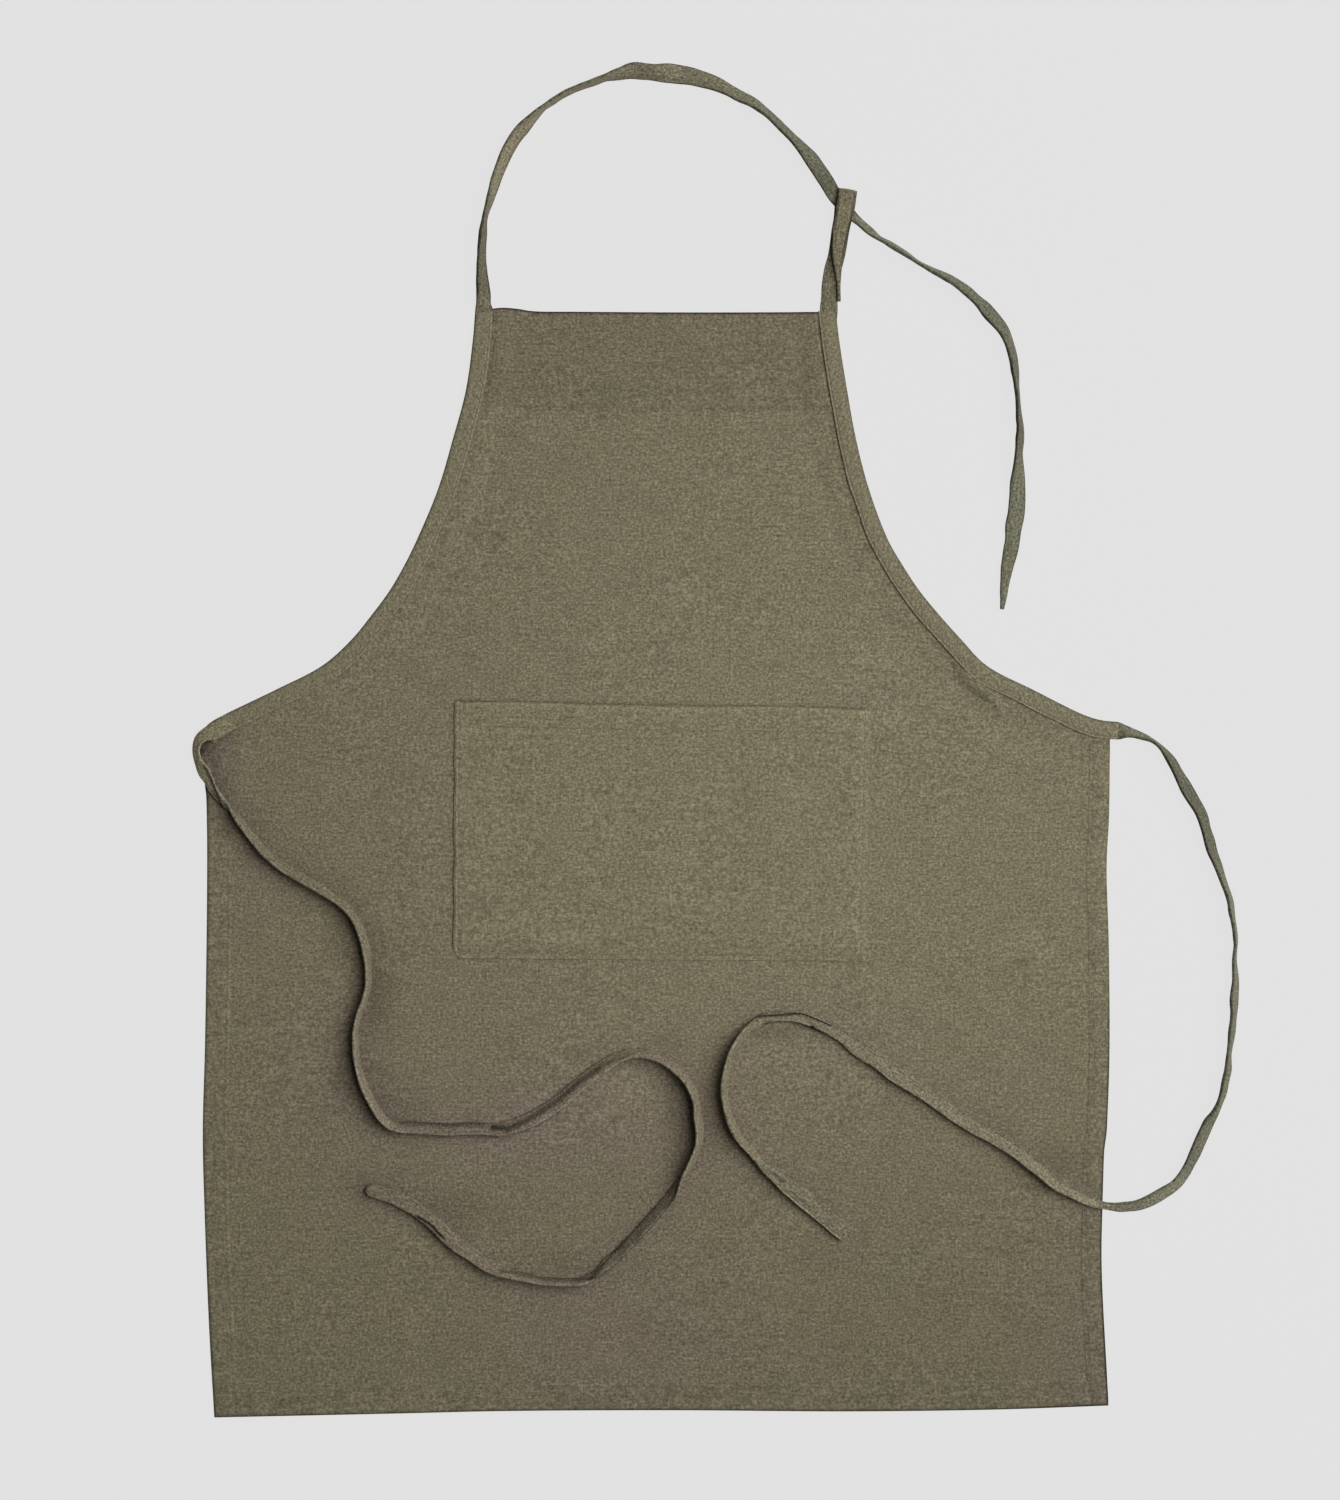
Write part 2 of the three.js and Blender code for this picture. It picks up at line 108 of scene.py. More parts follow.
def makePiece(name, points, faces, material, slot, weave, **paint):
    mesh = bpy.data.meshes.new(name)
    mesh.from_pydata((np.asarray(points) * mm).tolist(), [], faces)
    mesh.polygons.foreach_set("use_smooth", np.ones(len(mesh.polygons), bool))
    layer = mesh.attributes.new("weave", "FLOAT_VECTOR", "POINT")  # thread directions, mm
    layer.data.foreach_set("vector", np.asarray(weave, np.float32).ravel())
    for key, usual in (("tone", 1.0), ("wear", 0.0), ("fade", 0.0)):
        layer = mesh.attributes.new(key, "FLOAT", "POINT")
        amount = paint.get(key, np.full(len(points), usual))
        layer.data.foreach_set("value", np.asarray(amount, np.float32).ravel())
    mesh.materials.append(material)
    mesh.validate()
    piece = bpy.data.objects.new(name, mesh)
    bpy.context.scene.collection.objects.link(piece)
    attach(piece, "root")
    return piece


# small tools for materials


def hexLinear(code):  # sRGB hex to linear colour
    parts = [int(code[i:i + 2], 16) / 255 for i in (1, 3, 5)]
    return tuple(c / 12.92 if c <= 0.04045 else ((c + 0.055) / 1.055) ** 2.4 for c in parts) + (1.0,)


def addNode(tree, kind, values=None, links=None, **settings):
    node = tree.nodes.new(kind)
    for key, value in settings.items():
        setattr(node, key, value)
    for key, value in (values or {}).items():
        node.inputs[key].default_value = value
    for key, source in (links or {}).items():
        tree.links.new(source, node.inputs[key])
    return node


# Washed linen, plain weave of slubby yarn, garment washed: matt, flecked along both thread
# directions, with patches that have washed out from olive towards taupe, paler on folds thinned by use,
# and paler again where highlights are painted on edges.
# The yarn is really about 0.6 mm apart. It is drawn at about twice that, so that it shows.
linenLook = {
    "shade": "#504a38",
    "cloth": "#767059",
    "fleck": "#9e977d",
    "taupe": "#7a6e60",
    # paler colour for edges thinned by use and for painted highlights
    "wornAndLit": "#aca58c",
    "yarn": 1.25,  # mm across a yarn
    "knot": 2.1,  # mm across a crossing of two thick yarns
    "weftRun": 6.5,  # mm along a slub
    "warpRun": 6.0,
    "patch": 60.0,  # mm across a faded patch
    "fade": 0.15,
    "dull": 0.56,  # yarn relief that is darkest and palest
    "bright": 1.17,
}


def washedLinen(name, **changes):
    look = {**linenLook, **changes}
    material = bpy.data.materials.new(name)
    material.use_nodes = True
    tree = material.node_tree
    surface = tree.nodes["Principled BSDF"]
    threads = addNode(tree, "ShaderNodeAttribute", attribute_name="weave").outputs["Vector"]

    def yarnNoise(along, across, shift, detail):
        scaled = addNode(tree, "ShaderNodeVectorMath", {1: (1 / along, 1 / across, 1), 2: shift},
                         {0: threads}, operation="MULTIPLY_ADD")
        return addNode(tree, "ShaderNodeTexNoise", {"Scale": 1.0, "Detail": detail, "Roughness": 0.6},
                       {"Vector": scaled.outputs[0]}).outputs[0]

    weft = yarnNoise(look["weftRun"], look["yarn"], (3, 7, 1), 2.0)
    warp = yarnNoise(look["yarn"], look["warpRun"], (11, 2, 5), 2.0)
    slub = yarnNoise(look["weftRun"] * 4, look["yarn"] * 1.9, (5, 17, 9), 1.0)
    crossing = yarnNoise(look["knot"], look["knot"] * 0.85, (1, 4, 2), 2.0)
    patch = yarnNoise(look["patch"], look["patch"] * 0.8, (2, 9, 4), 3.0)
    bothWays = addNode(tree, "ShaderNodeMath", links={0: weft, 1: warp}, operation="ADD").outputs[0]
    thick = addNode(tree, "ShaderNodeMath", {1: 0.5}, {0: slub, 2: bothWays},
                    operation="MULTIPLY_ADD").outputs[0]
    relief = addNode(tree, "ShaderNodeMath", {1: 0.3}, {0: thick, 2: crossing},
                     operation="MULTIPLY_ADD").outputs[0]
    level = addNode(tree, "ShaderNodeMapRange", {"From Min": look["dull"], "From Max": look["bright"]},
                    {"Value": relief}).outputs[0]
    yarns = addNode(tree, "ShaderNodeValToRGB", links={"Fac": level})
    yarns.color_ramp.elements[0].color = hexLinear(look["shade"])
    yarns.color_ramp.elements[1].color = hexLinear(look["fleck"])
    yarns.color_ramp.elements.new(0.5).color = hexLinear(look["cloth"])
    mottled = addNode(tree, "ShaderNodeMapRange",
                      {"From Min": 0.42, "From Max": 0.72, "To Max": look["fade"]},
                      {"Value": patch}).outputs[0]
    # browner by place: fading, and a painted tint of the shade where the cloth lies in shade
    washed = addNode(tree, "ShaderNodeAttribute", attribute_name="fade").outputs["Fac"]
    faded = addNode(tree, "ShaderNodeMath", links={0: mottled, 1: washed}, operation="ADD",
                    use_clamp=True).outputs[0]
    tint = [t / c for t, c in zip(hexLinear(look["taupe"]), hexLinear(look["cloth"]))]
    drifted = addNode(tree, "ShaderNodeMix", {7: tint}, {0: faded, 6: yarns.outputs[0]},
                      data_type="RGBA", blend_type="MULTIPLY").outputs[2]
    # paler by place: rubbing from use, and painted highlights on edges that catch the light
    wornAndLit = addNode(tree, "ShaderNodeAttribute", attribute_name="wear").outputs["Fac"]
    rubbedAndLit = addNode(tree, "ShaderNodeMath", links={0: wornAndLit, 1: level}, operation="MULTIPLY").outputs[0]
    edged = addNode(tree, "ShaderNodeMix", {7: hexLinear(look["wornAndLit"])}, {0: rubbedAndLit, 6: drifted},
                    data_type="RGBA").outputs[2]
    # tone: mostly painted shade and painted light, set by place
    tone = addNode(tree, "ShaderNodeAttribute", attribute_name="tone").outputs["Fac"]
    shaded = addNode(tree, "ShaderNodeHueSaturation", links={"Value": tone, "Color": edged}).outputs[0]
    tree.links.new(shaded, surface.inputs["Base Color"])
    rough = addNode(tree, "ShaderNodeMapRange", {"To Min": 0.97, "To Max": 0.86}, {"Value": level}).outputs[0]
    tree.links.new(rough, surface.inputs["Roughness"])
    bump = addNode(tree, "ShaderNodeBump", {"Strength": 0.35, "Distance": 0.5 * mm}, {"Height": relief})
    tree.links.new(bump.outputs[0], surface.inputs["Normal"])
    surface.inputs["IOR"].default_value = 1.53  # cellulose
    surface.inputs["Specular IOR Level"].default_value = 0.25
    surface.inputs["Sheen Weight"].default_value = 0.12  # loose fibre ends
    surface.inputs["Sheen Roughness"].default_value = 0.6
    surface.inputs["Sheen Tint"].default_value = hexLinear("#b5ae97")
    return material


# Spun polyester sewing thread, two plies twisted: a little paler and smoother than the linen.
# Its plies are drawn about a millimetre apart, coarser than real, so that they show.
threadLook = {
    "ply": "#807961",
    "groove": "#5f5945",
    "twist": 0.55,
}


def sewingThread(name):
    material = bpy.data.materials.new(name)
    material.use_nodes = True
    tree = material.node_tree
    surface = tree.nodes["Principled BSDF"]
    threads = addNode(tree, "ShaderNodeAttribute", attribute_name="weave").outputs["Vector"]
    twist = addNode(tree, "ShaderNodeTexWave", {"Scale": threadLook["twist"], "Distortion": 0.6},
                    {"Vector": threads}, bands_direction="DIAGONAL").outputs["Fac"]
    ends = {6: hexLinear(threadLook["groove"]), 7: hexLinear(threadLook["ply"])}
    colour = addNode(tree, "ShaderNodeMix", ends, {0: twist}, data_type="RGBA").outputs[2]
    tree.links.new(colour, surface.inputs["Base Color"])
    bump = addNode(tree, "ShaderNodeBump", {"Strength": 0.3, "Distance": 0.1 * mm}, {"Height": twist})
    tree.links.new(bump.outputs[0], surface.inputs["Normal"])
    surface.inputs["Roughness"].default_value = 0.7
    surface.inputs["IOR"].default_value = 1.57
    surface.inputs["Sheen Weight"].default_value = 0.1
    return material


panelLinen = washedLinen("washed_linen_panel")
pocketLinen = washedLinen("washed_linen_pocket", cloth="#777159", fade=0.12)
bindingLinen = washedLinen("washed_linen_bias_binding", fade=0.35)
tapeWeave = {"weftRun": 9.0, "warpRun": 4.0, "dull": 0.63, "bright": 1.1}
tapeLinen = washedLinen("washed_linen_tape", fade=0.45, **tapeWeave)
tapeLinenGreyed = washedLinen("washed_linen_tape_greyed", shade="#4b4a3c", cloth="#71705d", fleck="#999884",
                              taupe="#7a6f5a", fade=0.1, **tapeWeave)
thread = sewingThread("spun_polyester_thread")
print("materials made")

# camera straight above the apron, as in the photograph

viewPoint = {"at": (9.7, -11.6, 2583.0), "lens": 80.0, "sensor": 36.0}
cameraData = bpy.data.cameras.new("view_from_above")
cameraData.lens, cameraData.sensor_width = viewPoint["lens"], viewPoint["sensor"]
camera = bpy.data.objects.new("view_from_above", cameraData)
camera.location = [v * mm for v in viewPoint["at"]]
bpy.context.scene.collection.objects.link(camera)
bpy.context.scene.camera = camera

# the panel's outline and the height of its cloth, which everything else lies on

panelShape = {
    "cloth": 1.0,
    "hemRise": 0.6,
    "bibTop": 328.0,
    "bibHem": 76.0,
    "leftHem": 18.0,
    "rightHem": 15.5,
    "bottomHem": 20.0,
    "bottom": -523.0,
    "skirtWide": 700.0,
    "hemStep": 0.8,  # half the slope where a hem ends
    "seamIn": 2.0,  # from a hem's inner edge to its stitches
    "lipSeam": 4.0,  # from the bib's top edge to the stitches there
    "rolled": 2.2,  # width of the soft outer edge
    "cutEdge": 1.9,  # the armhole edge lies this far inside the binding
    "underBinding": 1.3,
    "liftFrom": 20.0,
    "liftTo": 36.0,
    "facingFrom": 15.0,  # the bib's hem ends short of the binding
    "facingTo": 18.0,
    "corner": 348.6,
    "groove": 0.28,  # how deep the stitches pull the cloth in
    "pucker": 0.13,
    "puckerWave": 11.0,
    "wave": 0.42,
    "grid": 3.0,
    "sideBand": 30.0,  # columns and rows follow the edges this far in
    "bibBand": 90.0,
    "mouthLevel": 23.0,  # rows are set close about the pocket's mouth
    "mouthBand": 6.2,
    "mouthGrid": 0.8,
}
panelFolds = [  # start, end, height, width of soft folds that stand up from the cloth
    ((236.0, 50.0), (268.0, 20.0), 1.3, 4.5),
]
pocketShape = {
    "topLeft": (-157.1, 26.0),
    "topRight": (165.2, 20.0),
    "bottomLeft": (-158.7, -173.0),
    "bottomRight": (160.8, -175.2),
    "middle": 4.3,  # of the shade that it casts on the panel, painted along its mouth and foot
    "halfWide": 160.0,
    "clear": 0.3,
    "thick": 2.0,
    "rim": 10.0,
    "stitchIn": 4.0,
    "mouthHem": 19.0,
    "mouthRise": 0.15,
    "mouthGape": 0.7,
    "puckerWave": 9.0,
    "leftDip": (1.5, 2.4),  # how far each edge dips, and over what width
    "rightDip": (1.7, 9.0),
    "footDip": (1.7, 14.0),
    "mouthDip": (0.3, 1.2),
    "grid": 2.0,
}
armholeRows = [  # height, left edge, right edge
    (328, -141.2, 138.2), (306, -143.0, 140.7), (267, -148.4, 146.9), (229, -158.5, 153.8),
    (190, -170.1, 163.9), (151, -186.4, 178.6), (132, -195.7, 189.5), (112, -207.3, 202.7),
    (93, -221.3, 218.2), (74, -236.8, 235.2), (54, -259.2, 254.6), (35, -295.7, 291.0),
    (15.5, -336.0, 330.5),
]
leftEnd = [(-346.6, 9.4), (-353.4, 2.6)]
rightEnd = [(344.0, 11.4), (357.0, 10.2)]
leftSide = [  # height and edge, down the skirt
    (8, -350.6), (-2, -354.2), (-12, -356.6), (-24, -354.0), (-40, -350.2), (-70, -349.0), (-120, -348.9),
    (-236, -350.4), (-310, -352.2), (-372, -350.7), (-450, -347.6), (-529, -342.9),
]
rightSide = [
    (8, 350.4), (-62, 349.8), (-101, 347.9), (-159, 349.5), (-217, 350.2), (-258, 349.9), (-292, 348.7),
    (-309, 347.8), (-320, 346.2), (-343, 345.3), (-364, 344.7), (-410, 344), (-519, 349.2),
]
bottomEdge = [  # across and height
    (-343, -528.6), (-200, -525.5), (-122, -523.7), (10, -523.0), (150, -523.9), (265, -522.4), (350, -519.3),
]
topEdge = [
    (-141, 329.4), (-130, 330.0), (-119, 330.8), (-108, 330.0), (-97, 328.3), (-60, 327.8), (20, 327.3),
    (138, 327.6),
]

leftCurve = evenly(curveThrough([(left, y) for y, left, _ in armholeRows] + leftEnd, 16), 2.0)
rightCurve = evenly(curveThrough([(right, y) for y, _, right in armholeRows] + rightEnd, 16), 2.0)


def inwardFrom(curve, side):  # direction from the armhole edge in to the cloth
    along = unitRows(np.gradient(curve, axis=0))
    return np.stack([side * along[:, 1], -side * along[:, 0]], 1)


def sideTrack(curve, side, table):  # the cloth's edge, inside the binding and then down the skirt
    inside = curve + inwardFrom(curve, side) * panelShape["cutEdge"]
    inside = inside[np.abs(inside[:, 0]) < panelShape["corner"]]
    skirt = evenly(curveThrough([(x, y) for y, x in table], 12), 4.0)
    skirt = skirt[skirt[:, 1] < inside[-1, 1] - 2.5]
    both = np.vstack([inside, skirt])[::-1]
    return lambda y: np.interp(y, both[:, 1], both[:, 0])


leftAt = sideTrack(leftCurve, -1, leftSide)
rightAt = sideTrack(rightCurve, 1, rightSide)
bottomLine = evenly(curveThrough(bottomEdge, 12), 4.0)
topLine = evenly(curveThrough(topEdge, 12), 3.0)


def bottomAt(x):
    return np.interp(x, bottomLine[:, 0], bottomLine[:, 1])


def topAt(x):
    return np.interp(x, topLine[:, 0], topLine[:, 1])


def awayFrom(x, y, spots):
    found = np.full(np.shape(x), 1e9)
    for px, py in spots:
        found = np.minimum(found, (x - px) ** 2 + (y - py) ** 2)
    return np.sqrt(found)


def fromArmhole(x, y):
    return awayFrom(x, y, np.vstack([leftCurve, rightCurve]))


def foldLine(x, y, start, end, width):  # 1 along a straight fold, fading across and at its ends
    start, end = np.array(start), np.array(end)
    run = np.linalg.norm(end - start)
    along = (end - start) / run
    s = (x - start[0]) * along[0] + (y - start[1]) * along[1]
    across = (x - start[0]) * along[1] - (y - start[1]) * along[0]
    ends = ease(-0.2 * run, 0.25 * run, s) * (1 - ease(0.75 * run, 1.2 * run, s))
    return near(across, width) * ends


def panelHeight(x, y):  # underside, top face and how much of a turned hem
    p = panelShape
    x, y = np.asarray(x, float), np.asarray(y, float)
    armhole = fromArmhole(x, y)
    fromLeft, fromRight = x - leftAt(y), rightAt(y) - x
    fromBottom, fromTop = y - bottomAt(x), topAt(x) - y
    clear = ease(14, 40, armhole)  # 1 where the cloth is clear of the bindings
    soft = 0.55 * ripple(x, y, 150, 3) + 0.3 * ripple(x, y, 62, 4) + 0.1 * ripple(x, y, 27, 5)
    soft = p["wave"] * 0.5 * (soft + np.sqrt(soft**2 + 0.3)) * (0.3 + 0.7 * clear)
    lift = p["underBinding"] * (1 - ease(p["liftFrom"], p["liftTo"], armhole))
    low = lift + soft * ease(0, 30, np.minimum(np.minimum(fromLeft, fromRight), fromBottom))
    skirt = 1 - ease(-10, 0, y)

    def onHem(depth, away):  # 1 on a turned hem, 0 past its inner edge
        return 1 - ease(depth - p["hemStep"], depth + p["hemStep"], away)

    turned = np.maximum(onHem(p["leftHem"], fromLeft), onHem(p["rightHem"], fromRight)) * skirt
    turned = np.maximum(turned, onHem(p["bottomHem"], fromBottom))
    bibTurn = onHem(p["bibHem"], fromTop) * ease(p["facingFrom"], p["facingTo"], armhole)
    turned = np.maximum(turned, bibTurn)
    top = low + p["cloth"] + p["hemRise"] * turned
    seams = [  # distance from the seam, place along it, how much of it is there
        (fromLeft - p["leftHem"] + p["seamIn"], y, skirt),
        (fromRight - p["rightHem"] + p["seamIn"], y + 40, skirt),
        (fromBottom - p["bottomHem"] + p["seamIn"], x, 1),
        (fromTop - p["bibHem"] + p["seamIn"], x + 90, clear),
        (fromTop - p["lipSeam"], x + 30, clear),
    ]
    for away, run, there in seams:
        gather = np.sin(run * 2 * math.pi / p["puckerWave"] + 2.2 * rippleAlong(run, 60, 11))
        top = top + there * (p["pucker"] * gather * near(away, 8) - p["groove"] * near(away, 1.3))
    rim = np.minimum(np.minimum(fromLeft, fromRight), np.minimum(fromBottom, fromTop))
    rolled = 1 - ease(0, p["rolled"], rim)
    for start, end, tall, width in panelFolds:
        fold = tall * foldLine(x, y, start, end, width)
        top, low = top + fold, low + fold
    return low + 0.35 * rolled, top - 0.4 * rolled, turned


def shellFaces(rows, columns, stride):  # close-set top, wide-set underside and a rim that joins them
    top = np.arange(rows * columns).reshape(rows, columns)
    rowPick = np.unique(np.append(np.arange(0, rows, stride), rows - 1))
    columnPick = np.unique(np.append(np.arange(0, columns, stride), columns - 1))
    under = rows * columns + np.arange(len(rowPick) * len(columnPick)).reshape(len(rowPick), len(columnPick))

    def quads(g):
        return np.stack([g[:-1, :-1], g[1:, :-1], g[1:, 1:], g[:-1, 1:]], -1).reshape(-1, 4)

    faces = quads(top).tolist() + quads(under)[:, ::-1].tolist()
    sides = [  # top line, which of its points the underside keeps, underside line
        (top[:, 0], rowPick, under[:, 0], True), (top[-1], columnPick, under[-1], True),
        (top[:, -1], rowPick, under[:, -1], False), (top[0], columnPick, under[0], False),
    ]
    for line, pick, below, ahead in sides:
        for i in range(len(pick) - 1):
            face = line[pick[i]:pick[i + 1] + 1].tolist() + [below[i + 1], below[i]]
            faces.append([int(v) for v in (face[::-1] if ahead else face)])
    return faces, np.ix_(rowPick, columnPick)


def clothShell(flat, top, low, stride):  # points, faces and which of the top's points are below too
    faces, kept = shellFaces(*top.shape, stride)
    upper = np.concatenate([flat, top[..., None]], -1)
    lower = np.concatenate([flat, low[..., None]], -1)[kept]
    return np.vstack([upper.reshape(-1, 3), lower.reshape(-1, 3)]), faces, kept


def bothFaces(paint, kept):  # the same paint on a cloth's top and underside
    return {key: np.concatenate([v.ravel(), v[kept].ravel()]) for key, v in paint.items()}


def hemSteps(hem, inner, step):  # offsets in from an edge, close at the edge and at the hem's seam
    edge = [0, 0.5, 1.2, 2.2, 3.6]
    seam = [hem + d for d in (-4.2, -3.2, -2.5, -2, -1.5, -0.8, -0.3, 0.3, 0.8, 1.6, 2.8)]
    plain = np.arange(edge[-1] + step, seam[0] - step * 0.6, step).tolist()
    rest = np.arange(seam[-1] + step, inner, step).tolist()
    return np.array(edge + plain + seam + rest)


# the way each tape lies, by points chosen along it

floorLift, panelLift = 0, 1.3  # how high a tape's lowest edge is where it lies on each


def lying(lift, rows):  # rows on one surface, which give across, up, lean and width
    return [(x, y, lean, lift, width) for x, y, lean, width in rows]


neckStrapRows = [  # across, up, lean, lift of the lowest edge, width
    (-134.2, 318, 179, 1.05, 13.4), (-134.2, 328.3, 176, 1, 14), (-134.5, 333.5, 158, 0.8, 12.3),
    (-134.5, 340, 144, 0.3, 12.6),
] + lying(floorLift, [
    (-135.1, 347.4, 130, 13), (-135.8, 358.2, 118, 13), (-136, 369, 112, 13), (-135.5, 379.9, 108, 13),
    (-134.7, 390.5, 103, 13), (-133.1, 401.2, 98, 13), (-130.4, 411.7, 104, 13), (-127.2, 422, 112, 13),
    (-123.7, 432.2, 119, 13), (-120, 442.4, 124, 13), (-115.6, 452.2, 131, 13), (-110.1, 461.4, 132, 13),
    (-103.4, 469.8, 128, 13), (-96, 477.5, 112, 13), (-88.1, 484.9, 98, 13), (-79.3, 490.8, 94, 13),
    (-70.3, 496.4, 94, 13), (-60.5, 500.9, 96, 13), (-50.3, 504.1, 96, 13), (-40.3, 508, 96, 13),
    (-29.8, 510.9, 118, 13), (-19.5, 513.6, 136, 14), (-8.7, 513.3, 144, 14.2), (2, 512.4, 152, 14.6),
    (12.8, 511.8, 175, 14.3), (23.5, 510.8, 185, 14), (34, 507.8, 193, 13.4), (44.1, 504.2, 201, 13),
    (53.8, 499.4, 218, 13), (63.3, 494.1, 222, 13), (73.1, 489.5, 231, 13), (81.8, 483.2, 239, 13),
    (89.9, 476.1, 238, 13), (97.6, 468.5, 238, 13), (105.3, 460.9, 236, 13), (112.4, 452.8, 226, 13),
    (119.7, 444.7, 209, 13),
]) + [
    (125.3, 436.7, 199, 0.2, 12.8), (130.6, 428.6, 184, 0.7, 12.4), (135.4, 420.5, 194, 1.4, 11.8),
    (140.5, 413, 188, 1.9, 10.4), (146.5, 406.4, 186, 1.9, 8.6), (152.2, 400.8, 196, 1.9, 7),
    (157.6, 396.4, 213, 1.2, 7), (165, 389.4, 224, 0.3, 8.6),
] + lying(floorLift, [
    (171.2, 384.6, 243, 9.4), (176.7, 381.4, 247, 10.4), (183.1, 377.3, 245, 11.4), (192.3, 371.6, 250, 13),
    (201.4, 365.4, 254, 13), (210.8, 359.9, 252, 13), (220.7, 355.2, 242, 13), (230.1, 350.1, 236, 13),
    (238.9, 343.9, 233, 13), (246.8, 336.5, 232, 13), (254.4, 328.7, 220, 13), (261.5, 320.7, 219, 13),
    (267.8, 311.9, 226, 13), (272.3, 302, 236, 13), (275.1, 291.5, 238, 13), (276.3, 280.8, 246, 13),
    (277.4, 270, 254, 13), (278.5, 259.1, 258, 13), (279.3, 248.4, 254, 13), (280.4, 237.5, 246, 13),
    (279.9, 226.7, 242, 13), (279.5, 215.8, 239, 13), (279.1, 205, 228, 13.4), (278.6, 194.2, 204, 13.6),
    (278.5, 183.3, 188, 13.8), (277.8, 172.4, 192, 13.8), (275.9, 161.7, 192, 13.6),
    (274.7, 150.9, 194, 12.6), (272.8, 140.1, 190, 11.6), (270.6, 129.6, 192, 10), (269.1, 118.8, 196, 7.7),
    (268.2, 108.1, 202, 6), (266.8, 97.5, 198, 3.2),
])
backLegRows = [
    (132, 318, 0, 1.05, 13), (132.4, 328.3, 0, 1, 13), (133.4, 344.5, 0, 0, 12.7),
    (135.2, 357, 0, 0, 12.9), (138, 369.6, 0, 0, 13.5), (140.4, 381, 0, 0, 14),
    (142.8, 394.7, 0, 0, 14.4), (144.8, 408, 0, 0, 14.8), (146.6, 418.5, 0, 0, 15),
]
frontLegRows = [
    (146.6, 418.5, 0, 5.9, 15), (144, 401, 8, 5.4, 13.4), (140.9, 388, 11, 3.4, 11),
    (139.4, 372, 13, 2.3, 8.2), (139.9, 358, 15, 2, 5), (140.4, 345, 15, 1.9, 3.2),
    (140.5, 335.6, 15, 1.9, 2.6),
]
leftTieRows = [
    (-328, 11.3, 179, 1, 13.4), (-335.5, 7.2, 178, 1.5, 14), (-341.4, 3.8, 174, 1.9, 14),
    (-348.5, 1, 170, 2.2, 10.5), (-354.6, -3.9, 164, 2, 7.6),
] + lying(panelLift, [
    (-357, -12.3, 158, 6.2), (-354.4, -22.9, 162, 7.2), (-351, -29, 167, 9.6), (-347.4, -34.5, 167, 8.4),
    (-343.6, -41.8, 164, 7.4), (-338.8, -48.7, 158, 6.4), (-334.7, -53.3, 146, 6.2),
    (-330.2, -57.7, 100, 8), (-323.1, -66, 64, 10.4), (-316.7, -73.7, 56, 10.5), (-310.1, -82.3, 56, 10.5),
    (-299.5, -94.2, 56, 10.5), (-284.6, -105.1, 50, 10.5), (-273.3, -111.8, 50, 10.5),
    (-261, -118.5, 50, 10.5), (-248.6, -126.6, 54, 10.5), (-239.2, -134.8, 58, 10.5),
    (-231.3, -145.7, 62, 10.5), (-224.3, -170.5, 69, 10.5), (-223.5, -186.1, 77, 10.5),
    (-223.9, -194, 81, 10.5), (-225.4, -201.9, 81, 10.5), (-227, -208, 80, 10.5),
    (-230.4, -214.8, 78, 10.8), (-232.4, -223.7, 75, 11.5), (-233.3, -237.5, 75, 11.5),
    (-229.6, -263.3, 70, 11.5), (-218.3, -287.5, 68, 11.5), (-211.9, -297.1, 63, 11),
    (-205.3, -302.4, 48, 10), (-198, -303.6, 36, 9.6), (-190.3, -303.7, 30, 9.5), (-177.3, -304.5, 26, 9.7),
    (-158.1, -305.3, 26, 9.7), (-142.7, -304.6, 26, 9.7), (-135, -304.6, 26, 9.8), (-128.7, -304.7, 25, 10),
    (-119.1, -304.5, 25, 10.3), (-101.6, -299.5, 25, 10.8), (-86.3, -291.1, 25, 11),
    (-74.2, -282.6, 25, 11), (-61.6, -271.9, 25, 11), (-50.4, -262.6, 27, 10.6), (-40.4, -255.3, 31, 10),
    (-29.6, -249.2, 36, 9.6), (-22.8, -247, 42, 9.5), (-7.8, -247, 49, 9.5), (2.6, -250.5, 56, 10.5),
    (12.5, -256.8, 60, 11), (21, -264.7, 66, 12.8), (27, -273.9, 68, 13.4), (31.2, -287.3, 68, 13.6),
    (31.4, -295.1, 68, 13.6), (32.6, -302.8, 68, 13.6), (32.4, -313, 68, 13.6), (29.8, -322.8, 68, 13.6),
    (24.7, -334.1, 71, 13.4), (19.1, -341.5, 84, 11.5), (15.4, -348.3, 108, 9.5), (11.1, -355.4, 128, 9.5),
    (1.3, -368, 138, 9.7), (-10.9, -381.9, 136, 9.8), (-26.9, -398.5, 136, 9.6), (-39.6, -410.6, 132, 9.5),
    (-49.8, -418.7, 116, 9.5), (-59.7, -422.7, 112, 9.6), (-87.3, -422.4, 114, 9.8),
    (-102.5, -419.5, 116, 9.8), (-113.6, -416.7, 127, 10.3), (-124.4, -412.7, 143, 11.6),
    (-138.8, -405.1, 153, 12.3), (-150.4, -395.9, 159, 13.4), (-159.3, -388.8, 162, 14),
    (-167.9, -380.9, 164, 14), (-177.3, -372.6, 167, 13.3), (-189.6, -364.2, 170, 13),
    (-204.9, -356.4, 172, 12.7), (-216.5, -353.5, 173, 10.6), (-226.3, -352, 172, 9.4),
])
